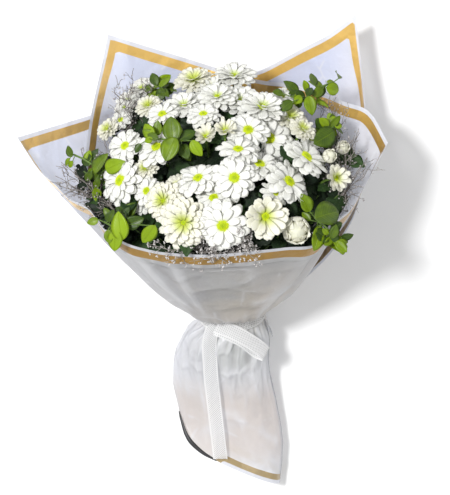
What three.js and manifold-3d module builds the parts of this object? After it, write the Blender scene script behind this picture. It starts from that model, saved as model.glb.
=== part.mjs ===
// A bunch of white daisy chrysanthemums in three sheets of milky film, tied with a lace ribbon
// and laid down on its back. Millimetres: +X to the right, +Y from the tie to the flowers, +Z up.
// The origin is the middle of the flat spot on which the bunch rests.
//
// Places are given as they are seen from the front: so far to the right, so far above the neck,
// and a height over the table. The line of sight through such a point meets that height in one
// place, so the front view comes out as given however deep the bunch is.
import * as THREE from "three";
import { mergeVertices } from "three/addons/utils/BufferGeometryUtils.js";
import Module from "manifold-3d";

const wasm = await Module();
wasm.setup();
const { Manifold, Mesh } = wasm;

// ---- Driving dimensions -----------------------------------------------------------------------
const TIE = new THREE.Vector3(10, -223, 68.5);
const LEAN = 22; // degrees by which the bunch's axis rises from the table
const DOME_ALONG = 230; // from the tie to the middle of the flower dome
const DOME_LEFT = 17;
const DOME_RADIUS = 160;
const DOME_HEIGHT = 85;

const VIEW_ZERO = new THREE.Vector3(10, -242, 64); // where the front view's measures start
const VIEW_LEAN = 15; // degrees by which the front view leans from straight down
const VIEW_DISTANCE = 2400;
const VIEW_RIGHT = -9; // the middle of the front view
const VIEW_UP = 97;

const FILM = 1; // thickness of a sheet
const LAYER = 2.2; // from one sheet to the next at the neck
const NECK_WIDTH = 36; // half the neck's inner width
const NECK_DEPTH = 28;
const NECK_LENGTH = 13; // how far the neck stays straight on each side of the tie
const PUFF = 12; // how far the front sheet swells out between neck and rim
const FLARE = 10; // how far its right side is drawn in before it opens to the rim

const HOLE = 3.5; // radius of the hole at the middle of a ring of petals
const PETAL = 0.8; // thickness
const NOTCH = 0.42; // share of a petal's reach where it parts from the next
const SPREAD = 0.4; // half a petal's tip, as a share of the angle from petal to petal
const STEM = 1.5; // radius
const GAP = 0.35; // clearance between touching pieces

// ---- Directions and the front view ------------------------------------------------------------
const radians = THREE.MathUtils.degToRad;
const UP_SLOPE = radians(LEAN);
const X = new THREE.Vector3(1, 0, 0);
const DOME = TIE.clone().add(
  new THREE.Vector3(-DOME_LEFT, DOME_ALONG * Math.cos(UP_SLOPE), DOME_ALONG * Math.sin(UP_SLOPE)),
);
const AXIS = DOME.clone().sub(TIE).normalize();
const FRONT = new THREE.Vector3(0, -Math.sin(UP_SLOPE), Math.cos(UP_SLOPE));
const RIGHT = AXIS.clone().cross(FRONT).normalize();

const VIEW_SLOPE = radians(VIEW_LEAN);
const TO_VIEWER = new THREE.Vector3(0, Math.sin(VIEW_SLOPE), Math.cos(VIEW_SLOPE));
const VIEW_TOP = new THREE.Vector3(0, Math.cos(VIEW_SLOPE), -Math.sin(VIEW_SLOPE));
const EYE = VIEW_ZERO.clone()
  .addScaledVector(X, VIEW_RIGHT)
  .addScaledVector(VIEW_TOP, VIEW_UP)
  .addScaledVector(TO_VIEWER, VIEW_DISTANCE);

function sightLine(right, up) {
  const target = VIEW_ZERO.clone().addScaledVector(X, right).addScaledVector(VIEW_TOP, up);
  return new THREE.Ray(EYE.clone(), target.sub(EYE).normalize());
}

function seen(right, up, height) {
  const line = sightLine(right, up);
  return line.at((height - EYE.z) / line.direction.z, new THREE.Vector3());
}

function along(distance) {
  return TIE.clone().addScaledVector(AXIS, distance);
}

// A point as shares of the dome's three half axes, from its middle.
function domeShares(point, lift) {
  const from = point.clone().sub(DOME);
  return new THREE.Vector3(
    from.dot(RIGHT) / (DOME_RADIUS + lift),
    from.dot(FRONT) / (DOME_RADIUS + lift),
    from.dot(AXIS) / (DOME_HEIGHT + lift),
  );
}

// Where the line of sight meets the flower dome, raised by lift; past its rim, where it comes
// nearest. The normal is the dome's own.
function onDome(right, up, lift = 0) {
  const line = sightLine(right, up);
  const start = domeShares(line.origin, lift);
  const step = domeShares(line.at(1, new THREE.Vector3()), lift).sub(start);
  const half = start.dot(step) / step.lengthSq();
  const inside = half * half - (start.lengthSq() - 1) / step.lengthSq();
  const point = line.at(-half - Math.sqrt(Math.max(inside, 0)), new THREE.Vector3());
  const share = domeShares(point, lift);
  const normal = new THREE.Vector3()
    .addScaledVector(RIGHT, share.x / DOME_RADIUS)
    .addScaledVector(FRONT, share.y / DOME_RADIUS)
    .addScaledVector(AXIS, share.z / DOME_HEIGHT)
    .normalize();
  return { point, normal, sight: line.direction };
}

// The angle round the axis: 0 in front, 90 at the right.
function angleRound(point) {
  const from = point.clone().sub(TIE);
  return THREE.MathUtils.radToDeg(Math.atan2(from.dot(RIGHT), from.dot(FRONT)));
}

// ---- Solids -----------------------------------------------------------------------------------
function solidOf(points, triangles) {
  const vertProperties = new Float32Array(points.flatMap((p) => [p.x, p.y, p.z]));
  const triVerts = new Uint32Array(triangles.flat());
  return new Manifold(new Mesh({ numProp: 3, vertProperties, triVerts }));
}

function solidOfGeometry(geometry) {
  geometry.deleteAttribute("normal");
  geometry.deleteAttribute("uv");
  const merged = mergeVertices(geometry, 1e-4);
  return new Manifold(
    new Mesh({
      numProp: 3,
      vertProperties: merged.attributes.position.array,
      triVerts: new Uint32Array(merged.index.array),
    }),
  );
}

function moved(solid, matrix) {
  return solid.transform(matrix.elements);
}

function geometryOf(solid) {
  const mesh = solid.getMesh();
  return new THREE.BufferGeometry()
    .setAttribute("position", new THREE.BufferAttribute(mesh.vertProperties, 3))
    .setIndex(new THREE.BufferAttribute(mesh.triVerts, 1));
}

function touches(a, b) {
  const one = a.boundingBox();
  const two = b.boundingBox();
  const apart = [0, 1, 2].some((i) => one.min[i] > two.max[i] || two.min[i] > one.max[i]);
  return !apart && a.intersect(b).volume() > 0;
}

// Two faces of a wall between the upper points p and q and the lower ones under them.
function wall(p, q, below) {
  return [
    [p, p + below, q + below],
    [p, q + below, q],
  ];
}

// A rod with straight sides through a line of points, closed by a fan at each end.
function rod(points, radii, sides = 4) {
  const corners = [];
  const overall = points.at(-1).clone().sub(points[0]).normalize();
  const aside = Math.abs(overall.x) < 0.8 ? X : TO_VIEWER;
  points.forEach((point, i) => {
    const before = points[Math.max(i - 1, 0)];
    const after = points[Math.min(i + 1, points.length - 1)];
    const way = after.clone().sub(before).normalize();
    const across = aside.clone().cross(way).normalize();
    const other = way.clone().cross(across);
    for (let k = 0; k < sides; k++) {
      const turn = (2 * Math.PI * k) / sides;
      corners.push(
        point
          .clone()
          .addScaledVector(across, radii[i] * Math.cos(turn))
          .addScaledVector(other, radii[i] * Math.sin(turn)),
      );
    }
  });
  const faces = [];
  for (let i = 0; i + 1 < points.length; i++)
    for (let k = 0; k < sides; k++) {
      const a = i * sides + k;
      const b = i * sides + ((k + 1) % sides);
      faces.push([a, b, b + sides], [a, b + sides, a + sides]);
    }
  const last = (points.length - 1) * sides;
  for (let k = 1; k + 1 < sides; k++) {
    faces.push([0, k + 1, k], [last, last + k, last + k + 1]);
  }
  return solidOf(corners, faces);
}

// ---- Flower heads -----------------------------------------------------------------------------
// A ring of petals round a hole, in one piece: each petal parts from the next at the notch and
// ends bluntly. Every other one is an upper petal: it stands higher, and in a double head it is
// shorter too. Its own z axis is the way the head faces.
function petalRing({ count, reach, rise, upper, spin = 0, thick = PETAL, grow = 0 }) {
  const points = [];
  const pitch = (2 * Math.PI) / count;
  const at = (radius, turn, height) => {
    points.push(new THREE.Vector3(radius * Math.cos(turn), radius * Math.sin(turn), height));
  };
  for (const under of [0, thick + 2 * grow]) {
    const top = thick + grow - under;
    for (let i = 0; i < count; i++) {
      const left = spin + i * pitch;
      const middle = left + pitch / 2;
      const long = grow + reach * (i % 2 ? upper.reach : 1);
      const tip = top + rise + (i % 2 ? upper.rise : 0);
      at(HOLE / Math.cos(pitch / 2), left, top);
      at(reach * NOTCH, left, top + rise * NOTCH * NOTCH);
      at(long, middle - pitch * SPREAD, tip);
      at(long, middle + pitch * SPREAD, tip);
    }
  }
  const below = 4 * count;
  const faces = [];
  for (let i = 0; i < count; i++) {
    const [hole, notch, left, right] = [0, 1, 2, 3].map((k) => 4 * i + k);
    const nextHole = (4 * i + 4) % below;
    const nextNotch = nextHole + 1;
    const top = [
      [hole, notch, nextNotch],
      [hole, nextNotch, nextHole],
      [notch, left, right],
      [notch, right, nextNotch],
    ];
    faces.push(...top, ...top.map(([a, b, c]) => [a + below, c + below, b + below]));
    faces.push(...wall(notch, left, below), ...wall(left, right, below));
    faces.push(...wall(right, nextNotch, below), ...wall(nextHole, hole, below));
  }
  return solidOf(points, faces);
}

// The forms a head takes. Reach, rise and the disc's radius are shares of its half diameter; the
// upper petals' rise is in millimetres or, in a double head, a share of the half diameter too.
const FORMS = {
  open: { count: 9, reach: 1, rise: 0.12, upper: { reach: 1, rise: 1.6 }, disc: 0.29 },
  small: { count: 7, reach: 1, rise: 0.15, upper: { reach: 1, rise: 1.6 }, disc: 0.34 },
  double: { count: 12, reach: 1, rise: 0.16, upper: { reach: 0.7, rise: 5 }, disc: 0.24 },
  half: { count: 8, reach: 0.8, rise: 0.7, upper: { reach: 1, rise: 1 }, disc: 0.3, thick: 1.1 },
};

function petalsOf({ form, diameter }, spin, grow = 0) {
  const { reach, rise, ...rest } = FORMS[form];
  const half = diameter / 2;
  return petalRing({ ...rest, reach: reach * half, rise: rise * half, spin, grow });
}

// How high the petals' upper face stands at a radius inside their notches.
function petalHeight({ form, diameter }, radius) {
  const { reach, rise, thick = PETAL } = FORMS[form];
  const notch = (reach * NOTCH * diameter) / 2;
  const climbed = (rise * NOTCH * NOTCH * diameter * (radius - HOLE)) / (notch - HOLE) / 2;
  return thick + climbed;
}

function turnedSolid(profile, sides) {
  const outline = profile.map(([radius, height]) => new THREE.Vector2(radius, height));
  return solidOfGeometry(new THREE.LatheGeometry(outline, sides).rotateX(Math.PI / 2));
}

// The green middle of a head: the cup under the petals, a neck through their hole, and the disc.
function middleOf(head) {
  const neck = HOLE - GAP;
  const disc = Math.max((FORMS[head.form].disc * head.diameter) / 2, neck + 0.4);
  const seat = petalHeight(head, disc) + 3 * GAP;
  const profile = [
    [0, -9],
    [neck, -2],
    [neck, seat],
    [disc, seat],
    [0, seat + 2.2],
  ];
  return turnedSolid(profile, 5);
}

// A closed bud is an egg of folded petals on a plain cup.
function budPetals({ diameter }, spin, grow = 0) {
  const wide = diameter / 2 + grow;
  const profile = [
    [0, GAP - grow],
    [wide * 0.7, GAP - grow],
    [wide, wide * 0.75],
    [wide * 0.75, wide * 1.5],
    [0, wide * 1.9],
  ];
  return turnedSolid(profile, 7).rotate([0, 0, spin * 40]);
}

function budCup({ diameter }) {
  return turnedSolid([[0, -9], [STEM, -9], [diameter * 0.3, 0], [0, 0]], 6);
}

// Name, form, right of the tie, above the tie, diameter, and degrees turned away from the viewer.
const HEADS = [
  ["daisy_front_big", "half", 42, 138, 62, 18],
  ["daisy_front_left", "open", -12, 126, 52, 8],
  ["daisy_double_front", "double", -62, 130, 56, 15],
  ["daisy_bud_front", "bud", 81, 122, 31, 15],
  ["daisy_centre", "open", 3, 187, 48, 10],
  ["daisy_centre_left", "open", -23, 160, 40, 35],
  ["daisy_inner_left", "open", -43, 185, 46, 48],
  ["daisy_right_wide", "open", 72, 181, 54, 52],
  ["daisy_right_tucked", "small", 56, 168, 30, 30],
  ["daisy_double_left", "double", -88, 157, 44, 28],
  ["daisy_double_inner", "double", -70, 174, 33, 30],
  ["daisy_half_left", "small", -110, 170, 34, 30],
  ["daisy_half_far_left", "small", -119, 158, 30, 34],
  ["daisy_left", "open", -143, 183, 52, 48],
  ["daisy_double_far_left", "double", -112, 199, 30, 35],
  ["daisy_left_upper", "open", -138, 228, 40, 40],
  ["daisy_left_inner", "open", -97, 226, 46, 40],
  ["daisy_corner_low", "double", -161, 250, 28, 48],
  ["daisy_corner_middle", "small", -144, 262, 26, 48],
  ["daisy_corner_high", "small", -139, 278, 22, 50],
  ["daisy_left_top", "open", -135, 286, 30, 55],
  ["daisy_double_upper_left", "double", -108, 280, 32, 50],
  ["daisy_upper_left", "open", -116, 303, 34, 58],
  ["daisy_above_leaves", "small", -90, 269, 37, 50],
  ["daisy_top_middle", "open", -19, 291, 44, 55],
  ["daisy_top_centre", "open", 9, 285, 48, 55],
  ["daisy_top_right", "open", 39, 278, 52, 55],
  ["daisy_double_top", "double", -49, 313, 46, 58],
  ["daisy_top_left", "open", -62, 280, 43, 55],
  ["daisy_top_inner", "small", -37, 269, 36, 50],
  ["daisy_top_small", "small", -25, 302, 38, 58],
  ["daisy_top", "open", 3, 318, 47, 62],
  ["daisy_cream_left", "half", -34, 240, 32, 45],
  ["daisy_cream_right", "half", -9, 248, 32, 48],
  ["daisy_middle", "open", 8, 222, 46, 55],
  ["daisy_middle_top", "open", 21, 248, 46, 35],
  ["daisy_middle_right", "open", 48, 237, 54, 30],
  ["daisy_middle_low", "open", 35, 203, 50, 55],
  ["daisy_right", "open", 95, 213, 53, 60],
  ["daisy_double_right_high", "double", 75, 265, 41, 48],
  ["daisy_double_right", "double", 91, 250, 32, 50],
  ["daisy_right_low", "small", 102, 238, 30, 50],
  ["daisy_small_right", "small", 66, 292, 25, 50],
  ["daisy_far_right", "half", 134, 187, 39, 38],
  ["daisy_bud_right", "bud", 142, 226, 16, 20],
  ["daisy_bud_right_low", "bud", 124, 214, 16, 28],
].map(([name, form, right, up, diameter, turn]) => ({ name, form, right, up, diameter, turn }));

// ---- The film ---------------------------------------------------------------------------------
// Each sheet is gathered at the neck and fans out in ribs. A rib has its angle round the neck and
// the point of the sheet's edge where it ends: right, up, height. Tips are the sheet's corners.
const BACK_LEFT = [
  [-185, 26, 319, 12],
  [-172, -9, 327, 13],
  [-158, -60, 343, 18],
  [-145, -110, 358, 34],
  [-130, -161, 374, 60],
  [-120, -169, 335, 80],
  [-108, -179, 290, 116],
  [-98, -186, 252, 148],
  [-88, -190, 211, 176],
  [-78, -189, 170, 198],
  [-70, -177, 142, 208],
  [-62, -156, 116, 212],
];
const BACK_RIGHT = [
  [208, -46, 300, 3],
  [202, -22, 308, 1],
  [195, 4, 316, 1],
  [182, 26, 324, 1],
  [170, 43, 330, 4],
  [155, 92, 356, 20],
  [140, 126, 374, 44],
  [126, 161, 400, 70],
  [114, 168, 335, 76],
  [103, 173, 283, 92],
  [92, 178, 235, 112],
  [80, 168, 190, 140],
];
const ROUND_FRONT = [
  [185, 12, 318, 5],
  [175, 28, 316, 6],
  [165, 46, 313, 25],
  [150, 72, 310, 38],
  [138, 95, 305, 60],
  [126, 126, 295, 90],
  [114, 148, 286, 120],
  [101, 179, 273, 149],
  [88, 203, 233, 187],
  [78, 190, 209, 208],
  [68, 177, 185, 228],
  [57, 157, 150, 241],
  [46, 134, 129, 260],
  [36, 114, 104, 277],
  [21, 69, 97, 296],
  [7, 23, 92, 303],
  [-5, -18, 88, 301],
  [-20, -68, 89, 294],
  [-33, -107, 94, 284],
  [-43, -142, 105, 274],
  [-51, -168, 123, 262],
  [-60, -187, 148, 249],
  [-68, -212, 161, 228],
  [-77, -233, 182, 210],
  [-85, -252, 199, 194],
  [-95, -279, 240, 172],
  [-110, -233, 254, 106],
  [-125, -187, 268, 56],
  [-150, -133, 285, 8],
];
const FAN_ROWS = [0.25, 0.5, 0.75, 1];
const NECK_END = 32; // how far a back sheet's gathered end runs below the tie

// The skirt under the tie: how far below, its middle's shift to the left and height over the
// table, and its half width and half depth.
const SKIRT = [
  [40, 6, 57, 54, 36],
  [81, 12, 42, 62, 36],
  [139, 9, 27, 67, 31],
  [259, 4, 22, 67, 25],
];
const SKIRT_SLANT = 0.13; // how much of its length is missing in the middle
const CORNER_CUT = 0.13; // how much more is missing round the left corner

function neckPoint(angle, distance, layer) {
  const turn = radians(angle);
  return along(distance)
    .addScaledVector(RIGHT, (NECK_WIDTH + layer * LAYER) * Math.sin(turn))
    .addScaledVector(FRONT, (NECK_DEPTH + layer * LAYER) * Math.cos(turn));
}

// The skirt's lower edge is cut on a slant: a rib keeps all of its length at the right and the
// least at the left, where the corner is rounded off, and the upper rows hardly notice.
function skirtShare(angle, below) {
  const right = Math.sin(radians(angle));
  const missing = SKIRT_SLANT * (1 - right) + CORNER_CUT * Math.max(-right, 0) ** 5;
  return 1 - (missing * below) / SKIRT.at(-1)[0];
}

function skirtPoint(angle, row, out = 0) {
  const [below, left, height, width, depth] = SKIRT[row];
  const turn = radians(angle);
  return new THREE.Vector3(
    TIE.x - left + (width + out) * Math.sin(turn),
    TIE.y - below * skirtShare(angle, below),
    Math.max(height + (depth + out) * Math.cos(turn), FILM),
  );
}

// The outer sheets bag out at two places low in the fan: the angle of each, its spread and how
// far out.
const BELLY = [
  [-75, 30, 20],
  [65, 22, 13],
];
const BELLY_AT = 0.18; // the share of a rib where they are fullest

function bellyAt(angle, share) {
  const sides = BELLY.map(([middle, spread, out]) => out * Math.exp(-(((angle - middle) / spread) ** 2)));
  return (sides[0] + sides[1]) * (share / BELLY_AT) * Math.exp(1 - share / BELLY_AT);
}

// One rib from its lower end to its edge. The film swells out on the way, flares to the rim at
// the right, and never goes lower than its floor, which leaves it flat where the bunch rests.
function rib([angle, right, up, height], { layer, floor, puff, flare, belly, lower }) {
  const edge = seen(right, up, height);
  const neck = neckPoint(angle, NECK_LENGTH, layer);
  const out = outward(angle);
  const points = [...lower(angle), neckPoint(angle, -NECK_LENGTH, layer), neck];
  for (const share of FAN_ROWS) {
    const point = neck.clone().lerp(edge, share);
    const drawn = flare * Math.max(out.dot(RIGHT), 0) ** 2 * Math.sin(Math.PI * share ** 3);
    const swell = puff * 4 * share * (1 - share) + belly * bellyAt(angle, share);
    point.addScaledVector(out, swell - drawn);
    point.z = Math.max(point.z, floor + FILM);
    points.push(point);
  }
  return points;
}

// A sheet from its ribs: the inner face through the ribs' points, the outer one a film's
// thickness outside it, and a border round both.
function sheet(ribs, laid) {
  const inner = ribs.map((one) => rib(one, laid));
  const columns = inner.length;
  const rows = inner[0].length;
  const outer = inner.map((line, i) =>
    line.map((point, j) => {
      const before = inner[Math.max(i - 1, 0)][j];
      const after = inner[Math.min(i + 1, columns - 1)][j];
      const lower = line[Math.max(j - 1, 0)];
      const upper = line[Math.min(j + 1, rows - 1)];
      const out = after.clone().sub(before).cross(upper.clone().sub(lower)).normalize();
      const facing = Math.sign(out.dot(outward(ribs[i][0])));
      const moved = point.clone().addScaledVector(out, FILM * facing);
      moved.z = Math.max(moved.z, j < rows - FAN_ROWS.length ? 0 : laid.floor);
      return moved;
    }),
  );
  const points = [...inner.flat(), ...outer.flat()];
  const below = columns * rows;
  const faces = [];
  for (let i = 0; i + 1 < columns; i++)
    for (let j = 0; j + 1 < rows; j++) {
      const a = i * rows + j;
      const b = a + rows;
      const inside = [
        [a, b, b + 1],
        [a, b + 1, a + 1],
      ];
      faces.push(...inside, ...inside.map(([p, q, r]) => [p + below, r + below, q + below]));
    }
  for (let i = 0; i + 1 < columns; i++) {
    const low = i * rows;
    const high = low + rows - 1;
    faces.push(...wall(low, low + rows, below), ...wall(high + rows, high, below));
  }
  for (let j = 0; j + 1 < rows; j++) {
    const last = (columns - 1) * rows + j;
    faces.push(...wall(j + 1, j, below), ...wall(last, last + 1, below));
  }
  const clockwise = ribs[0][0] < ribs.at(-1)[0];
  return solidOf(points, clockwise ? faces.map(([a, b, c]) => [a, c, b]) : faces);
}

function outward(angle) {
  const turn = radians(angle);
  return new THREE.Vector3()
    .addScaledVector(RIGHT, Math.sin(turn))
    .addScaledVector(FRONT, Math.cos(turn));
}

// How each sheet lies: its layer at the neck counted from the inside, the lowest its fan goes,
// how far it swells, and how its lower end runs on below the neck.
const INSIDE = {
  layer: 0,
  floor: 5,
  puff: -3,
  flare: 0,
  belly: 0,
  lower: (angle) => [neckPoint(angle, -NECK_END, 0)],
};
const MIDDLE = {
  layer: 1,
  floor: 2.5,
  puff: PUFF,
  flare: FLARE,
  belly: 1,
  lower: (angle) => [3, 2, 1, 0].map((row) => skirtPoint(angle, row)),
};
const OUTSIDE = {
  layer: 2,
  floor: 0,
  puff: 33,
  flare: 0,
  belly: 1,
  lower: (angle) => [skirtPoint(angle, 0, 4)],
};

const film = new THREE.MeshStandardMaterial({ color: 0xd9d6e0, roughness: 0.35, metalness: 0 });
const white = new THREE.MeshStandardMaterial({ color: 0xf6f6f2, roughness: 0.6, metalness: 0 });
const green = new THREE.MeshStandardMaterial({ color: 0x5c8a1e, roughness: 0.6, metalness: 0 });
const dry = new THREE.MeshStandardMaterial({ color: 0x8d8074, roughness: 0.9, metalness: 0 });
const lace = new THREE.MeshStandardMaterial({ color: 0xf2f1ee, roughness: 0.7, metalness: 0 });

const sheets = {
  film_back_left: sheet(BACK_LEFT, INSIDE),
  film_back_right: sheet(BACK_RIGHT, OUTSIDE),
  film_round_front: sheet(ROUND_FRONT, MIDDLE),
};

// ---- Stems ------------------------------------------------------------------------------------
// The stems are held in four bundles, each a quarter of the bound core inside the tie. Every stem
// runs straight from its own place in its bundle to its head, so no two bundles cross.
const BUNDLES = ["front", "right", "back", "left"];
const CORE_TOP = 16; // along the axis, from the tie
const CORE_FOOT = -20;
const STEM_ENDS = [-86, -74, -92, -80, -70];
const CORE_WIDTH = NECK_WIDTH - 0.9; // half width of the bound core
const CORE_DEPTH = NECK_DEPTH - 0.9;
const SQUEEZE = 0.15; // how much closer together the stems are in the tie than at the heads

function bundleAt(point) {
  return Math.floor(((angleRound(point) + 405) % 360) / 90);
}

function inCore(turn, share, distance) {
  return along(distance)
    .addScaledVector(RIGHT, CORE_WIDTH * share * Math.sin(turn))
    .addScaledVector(FRONT, CORE_DEPTH * share * Math.cos(turn));
}

// A quarter of the core: a slice from the axis out to the film, half a gap short of the next.
function coreSlice(bundle) {
  const middle = (bundle * Math.PI) / 2;
  const inset = inCore(middle, 0.02, 0).sub(TIE);
  const corners = [];
  for (const distance of [CORE_FOOT, CORE_TOP]) {
    corners.push(along(distance).add(inset));
    for (const degree of [-44, -22, 0, 22, 44]) {
      corners.push(inCore(middle + radians(degree), 0.99, distance));
    }
  }
  const faces = [];
  for (let k = 0; k < 6; k++) faces.push(...wall(k, (k + 1) % 6, 6));
  for (let k = 1; k < 5; k++) faces.push([0, k, k + 1], [6, k + 7, k + 6]);
  return solidOf(corners, faces.map(([a, b, c]) => [a, c, b]));
}

// Where a stem to this point enters the core: the point drawn in towards the axis, kept off the
// slice's sides.
function rootOf(point, bundle) {
  const from = point.clone().sub(TIE);
  const middle = (bundle * Math.PI) / 2;
  const turn = Math.atan2(from.dot(RIGHT), from.dot(FRONT)) - middle;
  const across = Math.atan2(Math.sin(turn), Math.cos(turn));
  const far = Math.hypot(from.dot(RIGHT), from.dot(FRONT)) * SQUEEZE;
  const share = THREE.MathUtils.clamp(far / CORE_WIDTH, 0.2, 0.8);
  const inner = THREE.MathUtils.clamp(across, radians(-38), radians(38));
  return inCore(middle + inner, share, CORE_TOP - 4);
}

// ---- Leafy sprigs -----------------------------------------------------------------------------
// A sprig: its twig's points (right, up, height), and its leaves: right, up and height of the
// middle, length, and the way the tip points in degrees.
const SPRIGS = [
  {
    twig: [[88, 282, 158], [96, 292, 165], [112, 304, 160], [130, 311, 150]],
    leaves: [
      [77, 305, 152, 24, 140], [60, 298, 168, 15, 190], [101, 300, 174, 15, 60],
      [86, 289, 184, 15, 220], [102, 282, 184, 24, 280], [117, 284, 170, 18, 320],
      [70, 281, 200, 21, 215], [132, 303, 154, 22, 350], [138, 322, 150, 16, 60],
    ],
  },
  {
    twig: [[126, 256, 176], [126, 248, 208]],
    leaves: [[120, 240, 220, 33, 205], [139, 250, 198, 15, 20]],
  },
  {
    twig: [[104, 143, 250], [110, 132, 274], [124, 122, 290], [140, 106, 292]],
    leaves: [
      [96, 155, 286, 24, 120], [125, 141, 292, 38, 25], [112, 109, 296, 30, 255],
      [146, 97, 296, 24, 320], [133, 118, 300, 18, 80], [150, 112, 292, 15, 20],
    ],
  },
  {
    twig: [[-160, 184, 212], [-171, 194, 218], [-186, 208, 210], [-206, 218, 204]],
    leaves: [
      [-172, 207, 224, 28, 60], [-154, 203, 242, 28, 20], [-211, 222, 204, 15, 110],
      [-176, 166, 226, 18, 265],
    ],
  },
  {
    twig: [[-134, 141, 260], [-140, 134, 276], [-148, 122, 288], [-166, 130, 284]],
    leaves: [
      [-146, 124, 296, 34, 95], [-152, 106, 294, 26, 265], [-128, 130, 288, 25, 20],
      [-181, 131, 280, 14, 200], [-162, 142, 286, 14, 130], [-108, 114, 300, 28, 240],
    ],
  },
  {
    twig: [[-66, 231, 222], [-71, 236, 255], [-88, 238, 250], [-106, 238, 242]],
    leaves: [
      [-78, 251, 258, 30, 95], [-80, 225, 268, 30, 250], [-57, 243, 255, 20, 30],
      [-46, 226, 264, 22, 300], [-108, 248, 248, 22, 120], [-122, 226, 242, 13, 240],
    ],
  },
  {
    twig: [[-90, 298, 110], [-95, 308, 128]],
    leaves: [[-101, 316, 132, 17, 110], [-87, 312, 134, 18, 40]],
  },
];
const TWIG = 0.9; // radius of a sprig's twig
const LEAF = 0.8; // thickness of a blade
const LEAF_WIDTH = 0.56; // of its length
const STALK = 0.7; // half the width of a leaf's stalk
const LEAF_AHEAD = 2; // a blade starts at least this far ahead of its twig

// A leaf in one piece: a pointed blade folded a little along its midrib, and a flat stalk from
// the twig to the blade's base.
function leaf(middle, tipWay, faceWay, length, stalkFrom) {
  const across = faceWay.clone().cross(tipWay).normalize();
  const place = (far, side, height) =>
    middle
      .clone()
      .addScaledVector(tipWay, far * length)
      .addScaledVector(across, side * LEAF_WIDTH * length)
      .addScaledVector(faceWay, height * length);
  const stalkWay = place(-0.42, 0, 0).sub(stalkFrom).normalize();
  const aside = faceWay.clone().cross(stalkWay).normalize();
  const start = stalkFrom.clone().addScaledVector(stalkWay, -2 * STALK);
  const foot = (side) => start.clone().addScaledVector(aside, side * STALK);
  const base = (side) => place(-0.42, 0, 0).addScaledVector(aside, side * STALK);
  const points = [];
  for (const under of [0, LEAF]) {
    const outline = [
      foot(1),
      foot(-1),
      base(-1),
      place(-0.1, -0.5, 0.07),
      place(0.5, 0, -0.06),
      place(-0.1, 0.5, 0.07),
      base(1),
    ];
    points.push(...outline.map((p) => p.addScaledVector(faceWay, -under)));
  }
  const top = [[0, 1, 2], [0, 2, 6], [2, 3, 4], [2, 4, 6], [4, 5, 6]];
  const faces = top.flatMap(([a, b, c]) => [[a, b, c], [a + 7, c + 7, b + 7]]);
  for (let k = 0; k < 7; k++) faces.push(...wall(k, (k + 1) % 7, 7));
  return solidOf(points, faces);
}

// The place on a line of points that is nearest to this one.
function nearest(point, line) {
  const places = line.slice(1).map((end, i) => {
    return new THREE.Line3(line[i], end).closestPointToPoint(point, true, new THREE.Vector3());
  });
  return places.reduce((a, b) => (a.distanceTo(point) < b.distanceTo(point) ? a : b));
}

function sprig({ twig, leaves }) {
  const line = twig.map((point) => seen(...point));
  const bundle = bundleAt(line[0]);
  const pieces = [rod([rootOf(line[0], bundle), ...line], [STEM, ...line.map(() => TWIG)])];
  for (const [right, up, height, length, degrees] of leaves) {
    const middle = seen(right, up, height);
    const face = onDome(right, up).normal.lerp(TO_VIEWER, 0.6).normalize();
    const way = X.clone()
      .multiplyScalar(Math.cos(radians(degrees)))
      .addScaledVector(VIEW_TOP, Math.sin(radians(degrees)));
    way.addScaledVector(face, -way.dot(face)).normalize();
    const base = middle.clone().addScaledVector(way, -length / 2);
    const from = nearest(base, line);
    const ahead = base.clone().sub(from).dot(way);
    middle.addScaledVector(way, Math.max(LEAF_AHEAD - ahead, 0));
    pieces.push(leaf(middle, way, face, length, from));
  }
  return { bundle, solid: Manifold.union(pieces) };
}

// ---- Placing the heads ------------------------------------------------------------------------
const BACK_STEP = 2.5; // a head is moved back by so much until it clears those in front
const FIRST_BACK = -6; // and starts this far in front of the dome
const MOST_BACK = 60;

function headFrame(point, normal, turn) {
  const sight = EYE.clone().sub(point).normalize();
  const side = normal.clone().addScaledVector(sight, -normal.dot(sight)).normalize();
  const facing = sight
    .multiplyScalar(Math.cos(radians(turn)))
    .addScaledVector(side, Math.sin(radians(turn)));
  const turned = new THREE.Quaternion().setFromUnitVectors(new THREE.Vector3(0, 0, 1), facing);
  const matrix = new THREE.Matrix4().compose(point, turned, new THREE.Vector3(1, 1, 1));
  return { facing, matrix };
}

function stemOf(point, facing, bundle) {
  const root = rootOf(point, bundle);
  const neck = point.clone().addScaledVector(facing, -7);
  return rod([root, neck], [STEM, STEM], 3);
}

// The middle of a bundle under the core, where the cut ends of its stems stand out.
function stemEnds(bundle) {
  return STEM_ENDS.map((end, i) => {
    const turn = (bundle * Math.PI) / 2 + radians(-30 + 15 * i);
    const share = i % 2 ? 0.42 : 0.72;
    return rod([inCore(turn, share, CORE_FOOT + 4), inCore(turn, share, end)], [2, 2], 3);
  });
}

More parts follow.
